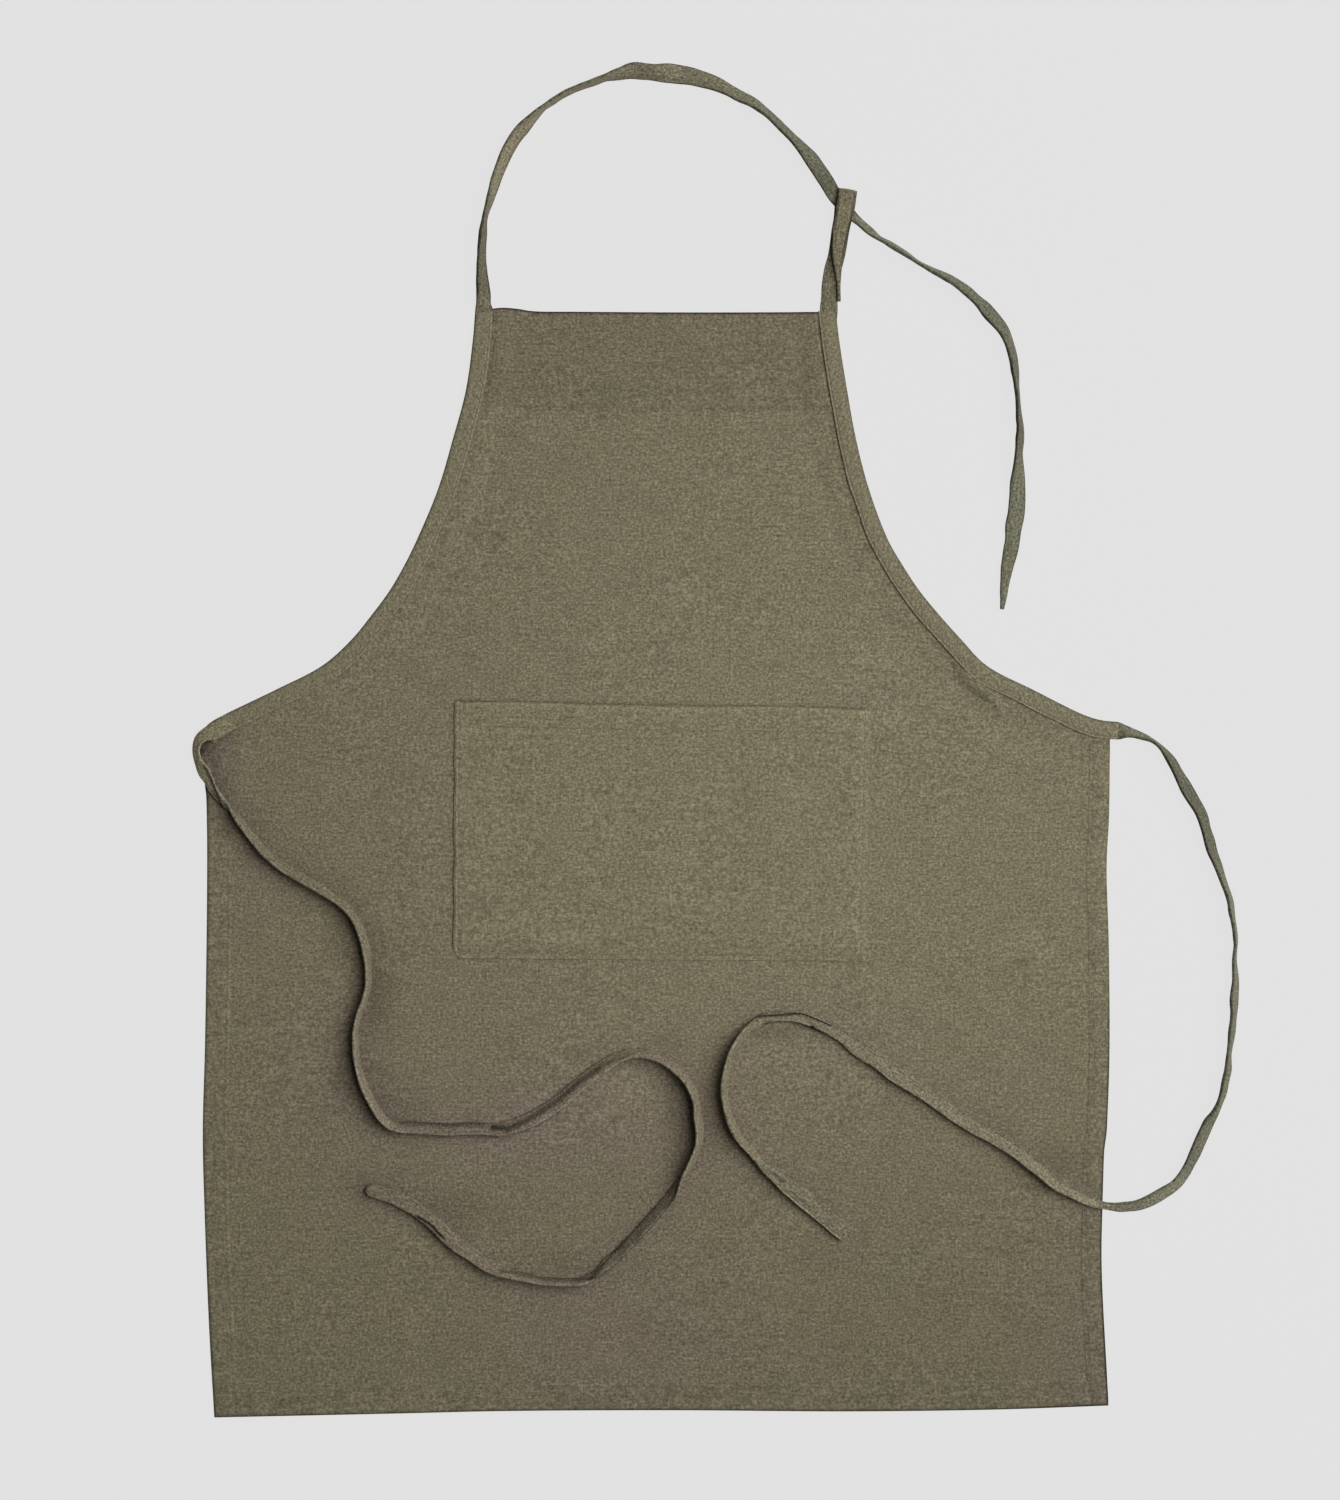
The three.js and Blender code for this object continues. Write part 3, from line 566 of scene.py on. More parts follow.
rightTieRows = [
    (351.5, 3.6, 180, 1, 12.5), (357.4, 3.2, 182, 1, 12.5), (362.3, 2.8, 203, 0.5, 9.9),
] + lying(floorLift, [
    (368.4, 1.4, 218, 8.2), (375.1, -0.8, 231, 8.4), (381.5, -3.6, 250, 8.8), (387.8, -8.1, 256, 9.8),
    (393, -13.7, 246, 11), (397.5, -20.1, 236, 12), (402.5, -29.6, 230, 12.8), (407.8, -39, 220, 12.8),
    (413.4, -48.4, 220, 12.8), (420.4, -60.5, 226, 12.8), (424.3, -73.2, 232, 12.8),
    (428.1, -86.6, 232, 12.8), (433.4, -101.1, 237, 12.8), (438.2, -115.1, 245, 12.8),
    (443.1, -129.8, 249, 12.8), (445.3, -144.2, 251, 12.8), (446.8, -158.9, 253, 12.8),
    (446.2, -172.8, 248, 12.8), (446.8, -186.7, 243, 12.8), (446.3, -199.8, 236, 12.8),
    (445.5, -215.3, 245, 12.8), (443.6, -233, 246, 12.8), (441.9, -247.7, 246, 12.8),
    (440.2, -262.1, 243, 12.8), (437.3, -276.7, 244, 12.8), (431.7, -290.4, 239, 12.8),
    (426.6, -299.8, 226, 12.8), (421.8, -310.4, 222, 12.8), (416.8, -321, 222, 12.8),
    (412.1, -330.6, 226, 12.8), (406.8, -340.2, 226, 12.8), (400, -348.6, 224, 12.8),
    (390.2, -354.9, 222, 12.8), (380.7, -360, 221, 12.5),
]) + [
    (371.4, -363.5, 220, 0.6, 11.5), (363.6, -364.8, 218, 1.4, 9.8), (355.9, -365.1, 206, 2, 7.4),
    (349.2, -364.5, 184, 2.1, 5.6), (342.4, -363.3, 174, 2, 5.4), (335.9, -361.6, 160, 1.5, 6.2),
] + lying(panelLift, [
    (324.6, -356.8, 146, 8), (312.5, -350, 142, 9.9), (301.8, -342.3, 142, 11), (289.4, -331.7, 150, 11),
    (274.6, -320.4, 157, 11), (262, -312.8, 162, 11.2), (247.8, -304.6, 162, 11.2),
    (231.3, -294.6, 162, 11.2), (218.5, -285.8, 162, 11.2), (199.5, -272.3, 162, 12.8),
    (177.2, -257, 162, 13.6), (161.2, -246, 170, 13.2), (150.2, -238.8, 170, 11.6), (140.8, -232, 166, 9.6),
    (131.5, -227.6, 168, 8.4), (120.9, -222.9, 168, 8), (110.6, -219.3, 170, 8), (98.3, -217.8, 172, 8),
    (87.5, -218.2, 178, 8.2), (78.3, -222.2, 196, 8.6), (70.5, -228.3, 222, 8.6), (62.6, -237.6, 246, 12),
    (56.9, -248.6, 250, 13), (53.1, -262.1, 249, 13), (52.2, -276.2, 248, 12.8), (54.2, -290.2, 248, 12.6),
    (58.4, -302.9, 248, 12.4), (65.4, -314.1, 243, 10.6), (74.2, -323.9, 236, 10), (82.2, -333.3, 224, 9.4),
    (91.2, -341.8, 214, 10), (98.8, -348.4, 204, 12.2), (107, -354.3, 196, 13.4),
    (116.5, -361.1, 192, 14.3), (131.7, -373.2, 188, 15), (147.1, -386.2, 185, 15),
])
leftTieMarks = [  # painted shade and highlights of folds on a tape: change of tone, how much paler, width, places
    (-0.9, 0, 1.1, [(-351.1, -23.9), (-348.5, -27.8), (-345.6, -33.7), (-342.3, -41.1), (-339.5, -49.3),
        (-338.2, -53.1), (-336.4, -56.9)]),
    (0, 0.8, 1.6, [(-348.9, -5), (-352.6, -9.3), (-353.2, -16.2), (-350.7, -21.6), (-346.6, -26.9),
        (-343.5, -32.7), (-340.5, -40.1), (-337, -47.4), (-333.4, -51.8)]),
    (-0.45, 0, 2.4, [(-197.8, -300.5), (-190.3, -300.5), (-158.1, -301.8), (-134.9, -301.2)]),
    (-0.75, 0, 2.7, [(-127.5, -303.6), (-115.4, -304.3), (-102, -298.6), (-87.2, -289.6), (-75.2, -281.3),
        (-62.8, -270.4), (-51, -261.9), (-45, -257.6)]),
    (-0.5, 0, 2.4, [(-41.5, -255), (-36, -252.2)]),
    (-0.25, 0, 2.2, [(-32.4, -250.4), (-22, -246.9)]),
    (-0.1, 0, 2.0, [(-18.5, -245.9), (-8, -245.2)]),
    (-0.8, 0, 1.1, [(18.3, -341), (15.7, -348.5), (13.6, -357.2), (4, -370.2), (-8.3, -384.3),
        (-24.2, -401.2), (-37.3, -413.2), (-46.5, -419), (-53.8, -420.3)]),
    (-0.6, 0, 1.1, [(16.8, -339.9), (7.9, -353.1), (-14.3, -378.7), (-29.6, -395.8), (-41.1, -408.9),
        (-50.2, -418)]),
    (-0.3, 0, 3.6, [(13.4, -351), (0.5, -367), (-14, -384), (-30, -400)]),
    (-0.5, 0, 1.2, [(-56, -420.4), (-59.9, -421.2), (-87.2, -420.9), (-102, -417.3), (-113.1, -414.8),
        (-120.2, -414.5)]),
    (-0.9, 0, 1.1, [(-165.4, -388.7), (-170.4, -383.7), (-174.7, -379.2), (-179.7, -375.7),
        (-186, -372.1)]),
]
# painted shade and highlights of folds on the right tie, the same columns
rightTieMarks = [
    (-0.75, 0, 1.6, [(145.9, -245), (137.5, -237.7), (129.7, -231.5), (119.8, -225.8)]),
    (-0.85, 0, 1.1, [(119.5, -226.5), (103.9, -222.4), (84, -223.6)]),
    (-0.85, 0, 1.1, [(133.1, -224.1), (111.5, -215.5), (76, -217.9)]),
    (0, 0.6, 0.9, [(130.5, -229.7), (110.1, -221.6), (87.9, -220.5)]),
    (0, 1.3, 1.2, [(77.6, -329.1), (82.7, -332.7), (93.9, -338.6), (103.1, -343.4), (111.7, -348.6),
        (121, -355.8)]),
    (-0.4, 0, 2.2, [(80, -330.5), (88, -337), (97, -345)]),
    (0, 1.2, 0.8, [(99.6, -355.1), (112.5, -365.8), (142.6, -391.5)]),
    (-0.5, 0, 0.7, [(102.3, -352), (110, -358.6), (118, -365)]),
]

# the panel's cloth, and how it has faded and creased

fadedPatches = [  # across, up, width, height and amount of browner patches, a painted tint of the shade there
    (-75, -306, 150, 50, 0.75), (-29, -469, 110, 60, 0.7), (331, -477, 45, 90, 0.55),
    (-324, -112, 40, 60, 0.35), (-258, 50, 40, 30, 0.4), (-250, -260, 40, 60, 0.35), (-338, -16, 13, 18, 0.6),
]
shadePatches = [  # the same, for painted shade where the cloth dips beside a tie
    (-338, -38, 12, 26, 0.16), (-214, -206, 15, 38, 0.16), (-200, -288, 24, 22, 0.14),
    (-244, -152, 14, 22, 0.1), (-245, -268, 14, 32, 0.14), (16, -300, 14, 42, 0.18), (43, -300, 14, 36, 0.1),
    (5, -238, 16, 10, 0.1), (-160, -368, 32, 16, 0.14), (-75, -410, 32, 10, 0.08), (311, -330, 16, 14, 0.18),
    (92, -229, 20, 8, 0.2),
]
creaseShade = [  # darkness, width and places of painted shade along creases behind the left tie and beside the right binding
    (1.0, 3.5, [(-353.2, -13.5), (-350.6, -7.3), (-345.6, -3.4), (-339.0, -0.3)]),
    (0.75, 2.1, [(230, 54), (234, 43.2), (243.7, 34.9), (256.5, 26.2)]),
]
panelPaint = {  # how much darker than plain cloth
    "hem": 0.03,
    "facing": 0.07,  # the bib's deep hem
    "leftGap": 0.08,  # painted shadow along the inner edge of each binding
    "rightGap": 0.16,
    "ridge": 0.24,  # painted shade beside the seam under the right binding
    "corner": 0.35,  # painted shade where the cloth sinks in behind the left tie
    # painted shade in the hollow and along the creases
    "hollow": 0.6,
    # painted shade under the pocket's mouth, along its foot and beside the ties
    "mouthGap": 0.28,
    "pocketFoot": 0.14,
    "byTies": 0.06,
    "byLeftTie": 0.14,
    "dip": 0.16,  # painted shade, darker towards the bottom hem
    "overall": 0.06,
    "middle": -0.13,  # a painted pool of light, brightest about the middle
    "cloudy": 0.015,
}


def softPatches(table):
    return sum(share * near(gridX - x, wide) * near(gridY - y, high) for x, y, wide, high, share in table)


p, k = panelShape, pocketShape
fromLeftSteps = hemSteps(p["leftHem"], p["sideBand"], p["grid"])
fromRightSteps = hemSteps(p["rightHem"], p["sideBand"], p["grid"])
fromTopSteps = hemSteps(p["bibHem"], p["bibBand"], p["grid"])
fromBottomSteps = hemSteps(p["bottomHem"], p["sideBand"], p["grid"])
middleColumns = int(round((p["skirtWide"] - fromLeftSteps[-1] - fromRightSteps[-1]) / p["grid"]))
spread = np.linspace(0, 1, middleColumns + 1)[1:-1]
highest, lowest = p["bibTop"] - fromTopSteps[-1] - p["grid"], p["bottom"] + fromBottomSteps[-1]
between = np.arange(highest, lowest, -p["grid"])
between = between[np.abs(between - p["mouthLevel"]) > p["mouthBand"]]
close = np.arange(p["mouthLevel"] - p["mouthBand"], p["mouthLevel"] + p["mouthBand"], p["mouthGrid"])
between = np.sort(np.concatenate([between, close]))[::-1]
levels = np.concatenate([p["bibTop"] - fromTopSteps, between, p["bottom"] + fromBottomSteps[::-1]])
gridX = []
for level in levels:
    inLeft, inRight = leftAt(level) + fromLeftSteps, rightAt(level) - fromRightSteps
    gridX.append(np.concatenate([inLeft, inLeft[-1] + (inRight[-1] - inLeft[-1]) * spread, inRight[::-1]]))
gridX = np.array(gridX)
levelGrid = np.repeat(levels[:, None], gridX.shape[1], 1)
topShare = 1 - ease(0, 70, p["bibTop"] - levelGrid)
bottomShare = 1 - ease(0, 140, levelGrid - p["bottom"])
gridY = levelGrid + (topAt(gridX) - p["bibTop"]) * topShare + (bottomAt(gridX) - p["bottom"]) * bottomShare
low, top, turned = panelHeight(gridX, gridY)
points, faces, kept = clothShell(np.stack([gridX, gridY], -1), top, np.minimum(low, top - 0.3), 4)

amount = panelPaint
armholeAway, underTop = fromArmhole(gridX, gridY), topAt(gridX) - gridY
rimAway = np.minimum(np.minimum(gridX - leftAt(gridY), rightAt(gridY) - gridX),
                     np.minimum(gridY - bottomAt(gridX), underTop))
facing = 1 - ease(p["bibHem"] - 1, p["bibHem"] + 1, underTop)
facing = facing * ease(p["facingFrom"], p["facingTo"], armholeAway)
# painted shadow along the inner edge of each binding, and beside the seam under the right one
beside = near(armholeAway - 14.9, 0.9) * np.where(gridX > 0, amount["rightGap"], amount["leftGap"])
beside = beside + amount["ridge"] * near(armholeAway - 17.3, 0.8) * (gridX > 0)
# painted shade in the hollow behind the left tie and along the creases
hollow = amount["corner"] * near(gridX + 344, 10) * near(gridY + 10, 14)
for depth, width, places in creaseShade:
    hollow = np.maximum(hollow, depth * near(awayFrom(gridX, gridY, evenly(places, 1.0)), width))
mouthLine = np.interp(gridX, *zip(k["topLeft"], k["topRight"]))
pocketFoot = np.interp(gridX, *zip(k["bottomLeft"], k["bottomRight"]))
pocketAside = near(np.maximum(np.abs(gridX - k["middle"]) - k["halfWide"], 0), 2)
# painted shade under the pocket's mouth
gap = near(gridY - mouthLine - 0.7, 1.2) * pocketAside
tieLines = np.vstack([evenly(curveThrough(rows, 8), 5.0)[:, :2] for rows in (leftTieRows, rightTieRows)])
tieAway = awayFrom(gridX, gridY, tieLines)
# painted shade beside the ties, along the pocket's foot and in the shade patches
paintedShade = near(tieAway, 15) * (amount["byTies"] + amount["byLeftTie"] * (1 - ease(-215, -170, gridX)))
paintedShade = paintedShade + amount["pocketFoot"] * near(gridY - pocketFoot + 0.8, 1.1) * pocketAside
paintedShade = paintedShade + softPatches(shadePatches)
# a painted pool of light about the middle, and a little darker overall
middle = amount["middle"] * near(gridX - 70, 270) * near(gridY + 40, 270) + amount["overall"]
cloudy = sum(ripple(gridX, gridY, wave, seed) for wave, seed in ((13, 81), (27, 82), (55, 83)))
# painted shade along the rolled edges, stronger or weaker by place as the light falls, and along the bib's
# top edge; a little paler just inside
rim = (0.55 + ease(200, 345, gridX) * (0.2 - 0.5 * ease(-250, -150, gridY))) * near(rimAway, 1.4)
rim = rim + 0.3 * near(underTop, 1.6) - 0.05 * near(rimAway - 4, 2.5)
# painted shade, darker towards the bottom and more so on the right
dip = (1 - ease(-540, -150, gridY)) * (0.4 + 0.6 * ease(-350, 350, gridX))
paint = {
    "tone": 1 - amount["hem"] * turned - amount["facing"] * facing - rim - beside - amount["hollow"] * hollow
    - amount["mouthGap"] * gap - amount["dip"] * dip - paintedShade - middle + amount["cloudy"] * cloudy,
    # browner along the bib's top edge, and a painted tint of the shade beside the ties and in the patches
    "fade": 0.5 * near(underTop, 7) + 0.4 * near(tieAway, 17) + softPatches(fadedPatches),
}
panel = makePiece("front_panel_cloth", points, faces, panelLinen, "panel_linen", points,
                  **bothFaces(paint, kept))
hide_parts("front_panel")
print("panel:", len(panel.data.polygons), "faces")

# tapes: neck strap, loop and waist ties, each a folded strip stitched along its open edge

tapeShape = {
    "thickness": 2.3,
    "step": 2.4,
    "stitchAt": -0.36,  # share of the width, towards the open edge
    "puff": 0.16,
    "sway": 7.0,  # degrees of lean that come and go
    "wander": 0.6,  # mm to either side
    "fray": 0.35,  # mm that each edge runs in and out
    "stitchRise": 0.32,  # share of the thickness
}
tapePaint = {
    "seam": 0.12,  # darker along the stitches
    "foot": 0.4,  # painted contact shade at the edge that rests
    # painted shade along the edges, where the tape lies flat and where it lies on the floor
    "flatEdge": 0.25,
    "floorEdge": 0.34,
    "wornAndLit": 0.25,  # paler at the edge that stands: rubbing, and a painted highlight
    "steepWearAndHighlight": 0.35,
}
tapeProfile = [  # across as a share of the width, half thickness as a share
    (-0.5, 0.42), (-0.485, 0.84), (-0.45, 1.0), (-0.4, 0.84), (-0.36, 0.58), (-0.32, 0.84), (-0.24, 1.0),
    (-0.1, 1.04), (0.06, 1.05), (0.22, 1.05), (0.34, 1.04), (0.42, 1.0), (0.465, 0.88), (0.49, 0.62),
    (0.5, 0.24),
]


def tapeStations(rows, seed, unrest, flip=1, onCloth=False, thick=None):
    t = tapeShape  # gives the middle line, two directions, width and thickness
    line = evenly(curveThrough(rows, 12), t["step"])
    run = lengthAlong(line[:, :2])
    along = unitRows(np.gradient(line[:, :2], axis=0))
    right = np.stack([along[:, 1], -along[:, 0]], 1) * flip
    still = unrest * ease(6, 40, run)  # the sewn end keeps still
    sway = t["sway"] * still * rippleAlong(run, 48, seed)
    lean = line[:, 2] + sway * np.abs(np.sin(np.radians(line[:, 2])))
    plan = line[:, :2] + right * (t["wander"] * still * rippleAlong(run, 31, seed + 1))[:, None]
    cos, sin = np.cos(np.radians(lean)), np.sin(np.radians(lean))
    lift, width = np.maximum(line[:, 3], 0), line[:, 4]
    across = np.column_stack([right * cos[:, None], sin])
    through = np.column_stack([-right * sin[:, None], cos])
    if onCloth:  # the lowest edge lies on the cloth under it
        foot = plan - across[:, :2] * np.sign(sin)[:, None] * width[:, None] * 0.5
        inside = (foot[:, 0] > leftAt(foot[:, 1])) & (foot[:, 0] < rightAt(foot[:, 1]))
        onto = np.maximum(lift - 0.3, panelHeight(foot[:, 0], foot[:, 1])[1] + 0.05)
        lift = np.where(inside & (foot[:, 1] < -20), onto, lift)
    thick = np.full(len(run), t["thickness"]) if thick is None else thick(line[:, 0])
    z = lift + width / 2 * np.abs(sin) + thick / 2 * np.abs(cos)
    return np.column_stack([plan, z]), across, through, width, thick


def loftTape(name, stations, material, seed, dim, roundEnd=0.0, marks=(), wornAndLit=1.0, fade=((0, 0),)):
    middle, across, through, width, thick = stations
    t, amount = tapeShape, tapePaint
    u = np.unique([r[0] for r in tapeProfile] + np.linspace(-0.42, 0.42, 15).round(2).tolist())
    v = np.interp(u, *np.transpose(tapeProfile)) / 2
    ringU, ringV = np.concatenate([u, u[::-1]]), np.concatenate([v, -v[::-1]])
    run = lengthAlong(middle)
    left = run[-1] - run
    endSoft = np.minimum(ease(-0.6, 1.6, run), ease(-0.6, 1.6, left))  # ends thin down a little
    swell = thick * (1 + t["puff"] * rippleAlong(run, 34, seed)) * (0.45 + 0.55 * endSoft)
    wide = width * (1 + 0.015 * rippleAlong(run, 50, seed + 1))
    if roundEnd:
        wide = wide * np.sqrt(1 - 0.94 * np.clip(1 - left / roundEnd, 0, 1) ** 2)
    wobble = 0.25 * ripple(run[:, None] + 0 * ringU, ringU[None] * 9, 16, seed + 2)
    edges = [rippleAlong(run, wave, seed + more) for wave, more in ((21, 5), (27, 6))]
    frayed = np.where(ringU[None] < 0, -edges[0][:, None], edges[1][:, None])
    frayed = frayed * np.abs(ringU)[None] * 2 * t["fray"]
    reach = ringU[None] * wide[:, None] + frayed * endSoft[:, None]
    height = ringV[None] * swell[:, None] + wobble * (np.abs(ringU) < 0.48)
    points = middle[:, None] + across[:, None] * reach[..., None] + through[:, None] * height[..., None]
    points[..., 2] = np.maximum(points[..., 2], 0.05)
    faces = tubeFaces(*height.shape)
    if np.dot(np.cross(across[0], through[0]), middle[1] - middle[0]) > 0:
        faces = [f[::-1] for f in faces]
    weave = np.stack([run[:, None] + 0 * reach, reach, 0 * reach + 37.0 * seed], -1)
    steep = ease(0.25, 0.8, np.abs(across[:, 2]))[:, None]
    # -0.5 at the edge that rests, 0.5 at the one that stands
    risen = ringU * np.where(across[:, 2] < 0, -1, 1)[:, None]
    wornAndLit = np.reshape(wornAndLit, (-1, 1))
    # paler along the standing edge: rubbing, and a painted highlight that grows where the tape stands steep
    wear = near(risen - 0.49, 0.045) * (amount["wornAndLit"] + amount["steepWearAndHighlight"] * steep) * wornAndLit
    tone = 1 - amount["seam"] * near(ringU - t["stitchAt"], 0.03)
    # painted contact shade along the edge that rests
    tone = tone - amount["foot"] * steep * near(risen + 0.5, 0.09)
    flat = 1 - ease(0.1, 0.3, np.abs(across[:, 2]))[:, None]
    # painted shade along the edges of flat stretches and of stretches on the floor
    edge = amount["flatEdge"] * (1 - steep) * np.maximum(flat, risen < 0) + amount["floorEdge"] * (1 - wornAndLit)
    tone = tone - near((0.5 - np.abs(ringU)) * wide[:, None], 0.9) * edge
    tone = tone - np.interp(run / run[-1], *zip(*dim))[:, None]  # painted shade by stops along the tape, painted light where below zero
    faded = np.interp(run / run[-1], *zip(*fade))[:, None] + 0 * tone
    # painted shade lines and painted highlights along folds
    for change, paler, broad, spots in marks:
        mark = near(awayFrom(points[..., 0], points[..., 1], evenly(spots, 0.7)), broad)
        tone, wear = tone + change * mark, np.maximum(wear, paler * mark)
    return makePiece(name, points.reshape(-1, 3), faces, material, "tape_linen", weave.reshape(-1, 3),
                     tone=tone.ravel(), wear=wear.ravel(), fade=faded.ravel())


# stitches: short beads of thread along each seam

stitchShape = {
    "pitch": 3.1,
    "long": 2.3,
    "thick": 0.25,
    "tilt": 0.06,  # radians either way
    "sides": 6,
    "lift": 0.05,  # off the panel's and the pocket's face
}
stitchRings = [  # place along half a stitch, size, rise
    (-1.0, 0.25, -0.22), (-0.62, 0.9, 0.0), (0.0, 1.0, 0.1), (0.62, 0.9, 0.0), (1.0, 0.25, -0.22),
]


def stitchMesh(runs):  # each bead dips into the cloth at both ends
    s = stitchShape
    draw = np.random.default_rng(21)
    spin = np.arange(s["sides"]) * 2 * math.pi / s["sides"]
    points, weave = [], []
    for line, up in runs:
        run = lengthAlong(line)
        at = np.arange(s["pitch"] / 2, run[-1], s["pitch"])

        def pick(rows, where):
            return np.stack([np.interp(where, run, column) for column in rows.T], 1)

        middle, normal = pick(line, at), unitRows(pick(up, at))
        ahead = unitRows(pick(line, at + 0.5) - pick(line, at - 0.5))
        aside = np.cross(normal, ahead)
        ahead = unitRows(ahead + aside * draw.normal(0, s["tilt"], (len(at), 1)))
        beads, twist = [], []
        for share, size, rise in stitchRings:
            along, radius = share * s["long"] / 2, size * s["thick"]
            for a in spin:
                offset = aside * math.cos(a) * radius + normal * (math.sin(a) * radius + rise)
                beads.append(middle + ahead * along + offset)
                twist.append(np.stack([at + along, 0 * at + a, 0 * at], 1))
        points.append(np.stack(beads, 1).reshape(-1, 3))
        weave.append(np.stack(twist, 1).reshape(-1, 3))
    points = np.vstack(points)
    bead = tubeFaces(len(stitchRings), s["sides"])
    firsts = range(0, len(points), len(stitchRings) * s["sides"])
    faces = [[first + corner for corner in face] for first in firsts for face in bead]
    return points, faces, np.vstack(weave)


def sew(name, runs, slot):
    points, faces, weave = stitchMesh(runs)
    return makePiece(name, points, faces, thread, slot, weave)


def tapeSeams(stations):  # the line of stitches on both faces of a tape
    middle, across, through, width, thick = stations
    line = middle + across * (tapeShape["stitchAt"] * width)[:, None]
    rise = through * (thick * tapeShape["stitchRise"])[:, None]
    return [(line + rise, through), (line - rise, -through)]


leftStations = tapeStations(leftTieRows, 61, onCloth=True, unrest=0.3)
rightStations = tapeStations(rightTieRows, 64, onCloth=True, unrest=0.3)
onFloor = ease(346, 362, rightStations[0][:, 0])  # 1 past the panel's right edge
# painted shade, painted light where below zero, and how much browner, by the share of the way along
leftTieTone = [
    (0.01, -0.1), (0.06, 0), (0.11, 0.18), (0.22, 0.15), (0.3, 0.05), (0.38, 0.06), (0.4, 0.16),
    (0.46, 0.16), (0.49, -0.08), (0.56, -0.08), (0.6, 0.07), (0.69, 0.07), (0.72, -0.05), (0.79, -0.05),
    (0.82, 0.1), (0.86, 0.1), (0.9, 0.2),
]
leftTieFade = [
    (0, -0.3), (0.055, -0.2), (0.075, 0.45), (0.11, 0.45), (0.13, 0.05), (0.22, 0.15), (0.27, 0.55),
]
rightTieTone = [
    (0.01, 0.1), (0.02, 0.12), (0.05, 0.45), (0.13, 0.45), (0.17, 0.2), (0.23, 0.2), (0.26, 0.3),
    (0.39, 0.27), (0.41, -0.1), (0.46, -0.14), (0.51, 0.05), (0.9, 0.07), (0.94, 0.16),
]
rightTieFade = [(0.45, 0), (0.48, 0.5)]
tieLeft = loftTape("waist_tie_left_tape", leftStations, tapeLinen, 1, leftTieTone, roundEnd=6.0,
                   marks=leftTieMarks, fade=leftTieFade)
tieRight = loftTape("waist_tie_right_tape", rightStations, tapeLinenGreyed, 4, rightTieTone,
                    marks=rightTieMarks, wornAndLit=1 - onFloor, fade=rightTieFade)
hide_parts("waist_tie_left")
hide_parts("waist_tie_right")
leftSeam = sew("waist_tie_left_stitches", tapeSeams(leftStations), "tape_linen")
rightSeam = sew("waist_tie_right_stitches", tapeSeams(rightStations), "tape_linen")

# the neck strap passes through a loop of the same tape, folded double

loopShape = {
    "thickness": 1.7,
    "foldWidth": 15.0,
    "foldSteps": 9,
    "strapThick": 1.6,  # the strap is squeezed flat where it passes
    "strapAt": 146.0,
    "squeeze": 16.0,
}


def thinInLoop(x):
    s = loopShape
    plain = 1 - near(x - s["strapAt"], s["squeeze"])
    return s["strapThick"] + (tapeShape["thickness"] - s["strapThick"]) * plain


def loopThick(x):
    return np.full(len(x), loopShape["thickness"])


# painted shade along the neck strap, by the share of the way along
neckTone = [
    (0.02, 0.2), (0.03, 0.46), (0.1, 0.46), (0.13, 0.02), (0.27, 0), (0.31, 0.04), (0.37, 0.06),
    (0.42, 0.18), (0.46, 0.34), (0.53, 0.34), (0.57, 0.12), (0.65, 0.14), (0.69, 0.32), (0.75, 0.36),
    (0.78, 0.5), (0.85, 0.5), (0.88, 0.2),
]
neckFade = [(0.32, 0.5), (0.42, 0.05)]
neckStations = tapeStations(neckStrapRows, 67, unrest=0.2, thick=thinInLoop)
neckStrap = loftTape("neck_strap_tape", neckStations, tapeLinenGreyed, 7, neckTone, wornAndLit=0.0, fade=neckFade)
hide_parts("neck_strap")

backLeg = tapeStations(backLegRows, 70, unrest=0.0, thick=loopThick)
turnedOver = [(x, y, -lean, lift, width) for x, y, lean, lift, width in frontLegRows]
frontLeg = tapeStations(turnedOver, 73, flip=-1, unrest=0.0, thick=loopThick)
foldAlong = unitRows(np.array(backLegRows[-1][:2]) - np.array(backLegRows[-2][:2]))
foldAlong = np.array([foldAlong[0], foldAlong[1], 0])
foldRight = np.array([foldAlong[1], -foldAlong[0], 0])
backLift, frontLift = backLegRows[-1][3], frontLegRows[0][3]
radius = (frontLift - backLift) / 2
centre = np.array([*backLegRows[-1][:2], backLift + loopShape["thickness"] / 2 + radius])
turns = np.linspace(0, math.pi, loopShape["foldSteps"] + 2)[1:-1]
sinTurn, cosTurn = np.sin(turns)[:, None], np.cos(turns)[:, None]
foldMiddle = centre + radius * (sinTurn * foldAlong - cosTurn * upward)
foldThrough = -sinTurn * foldAlong + cosTurn * upward
loopStations = [
    np.vstack([backLeg[0], foldMiddle, frontLeg[0]]),
    np.vstack([backLeg[1], np.repeat(foldRight[None], len(turns), 0), frontLeg[1]]),
    np.vstack([backLeg[2], foldThrough, -frontLeg[2]]),
    np.concatenate([backLeg[3], np.full(len(turns), loopShape["foldWidth"]), frontLeg[3]]),
    np.concatenate([backLeg[4], loopThick(turns), frontLeg[4]]),
]
# painted shade and highlights of folds on the loop, the same columns; the loop is painted a little darker all
# over too
loopMarks = [
    (0, 0.7, 0.8, [(150.6, 418.5), (149.4, 408), (147.6, 397)]),
    (-0.4, 0, 0.8, [(152.4, 418.5), (150.9, 408), (149, 397), (146, 383), (143.4, 370)]),
    (-0.4, 0, 0.9, [(140.6, 417), (138.9, 404), (136.8, 392)]),
    (0, 0.5, 0.8, [(142.4, 417), (140.7, 404), (138.6, 392)]),
]
neckLoop = loftTape("neck_loop_tape", loopStations, tapeLinen, 10, [(0, 0.2)], marks=loopMarks, wornAndLit=0.3)
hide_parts("neck_loop")
sew("neck_strap_stitches", tapeSeams(neckStations) + tapeSeams(loopStations), "tape_linen")
print("tapes made")

# armhole bindings: bias strips folded over the cut edge, stitched near their inner edge

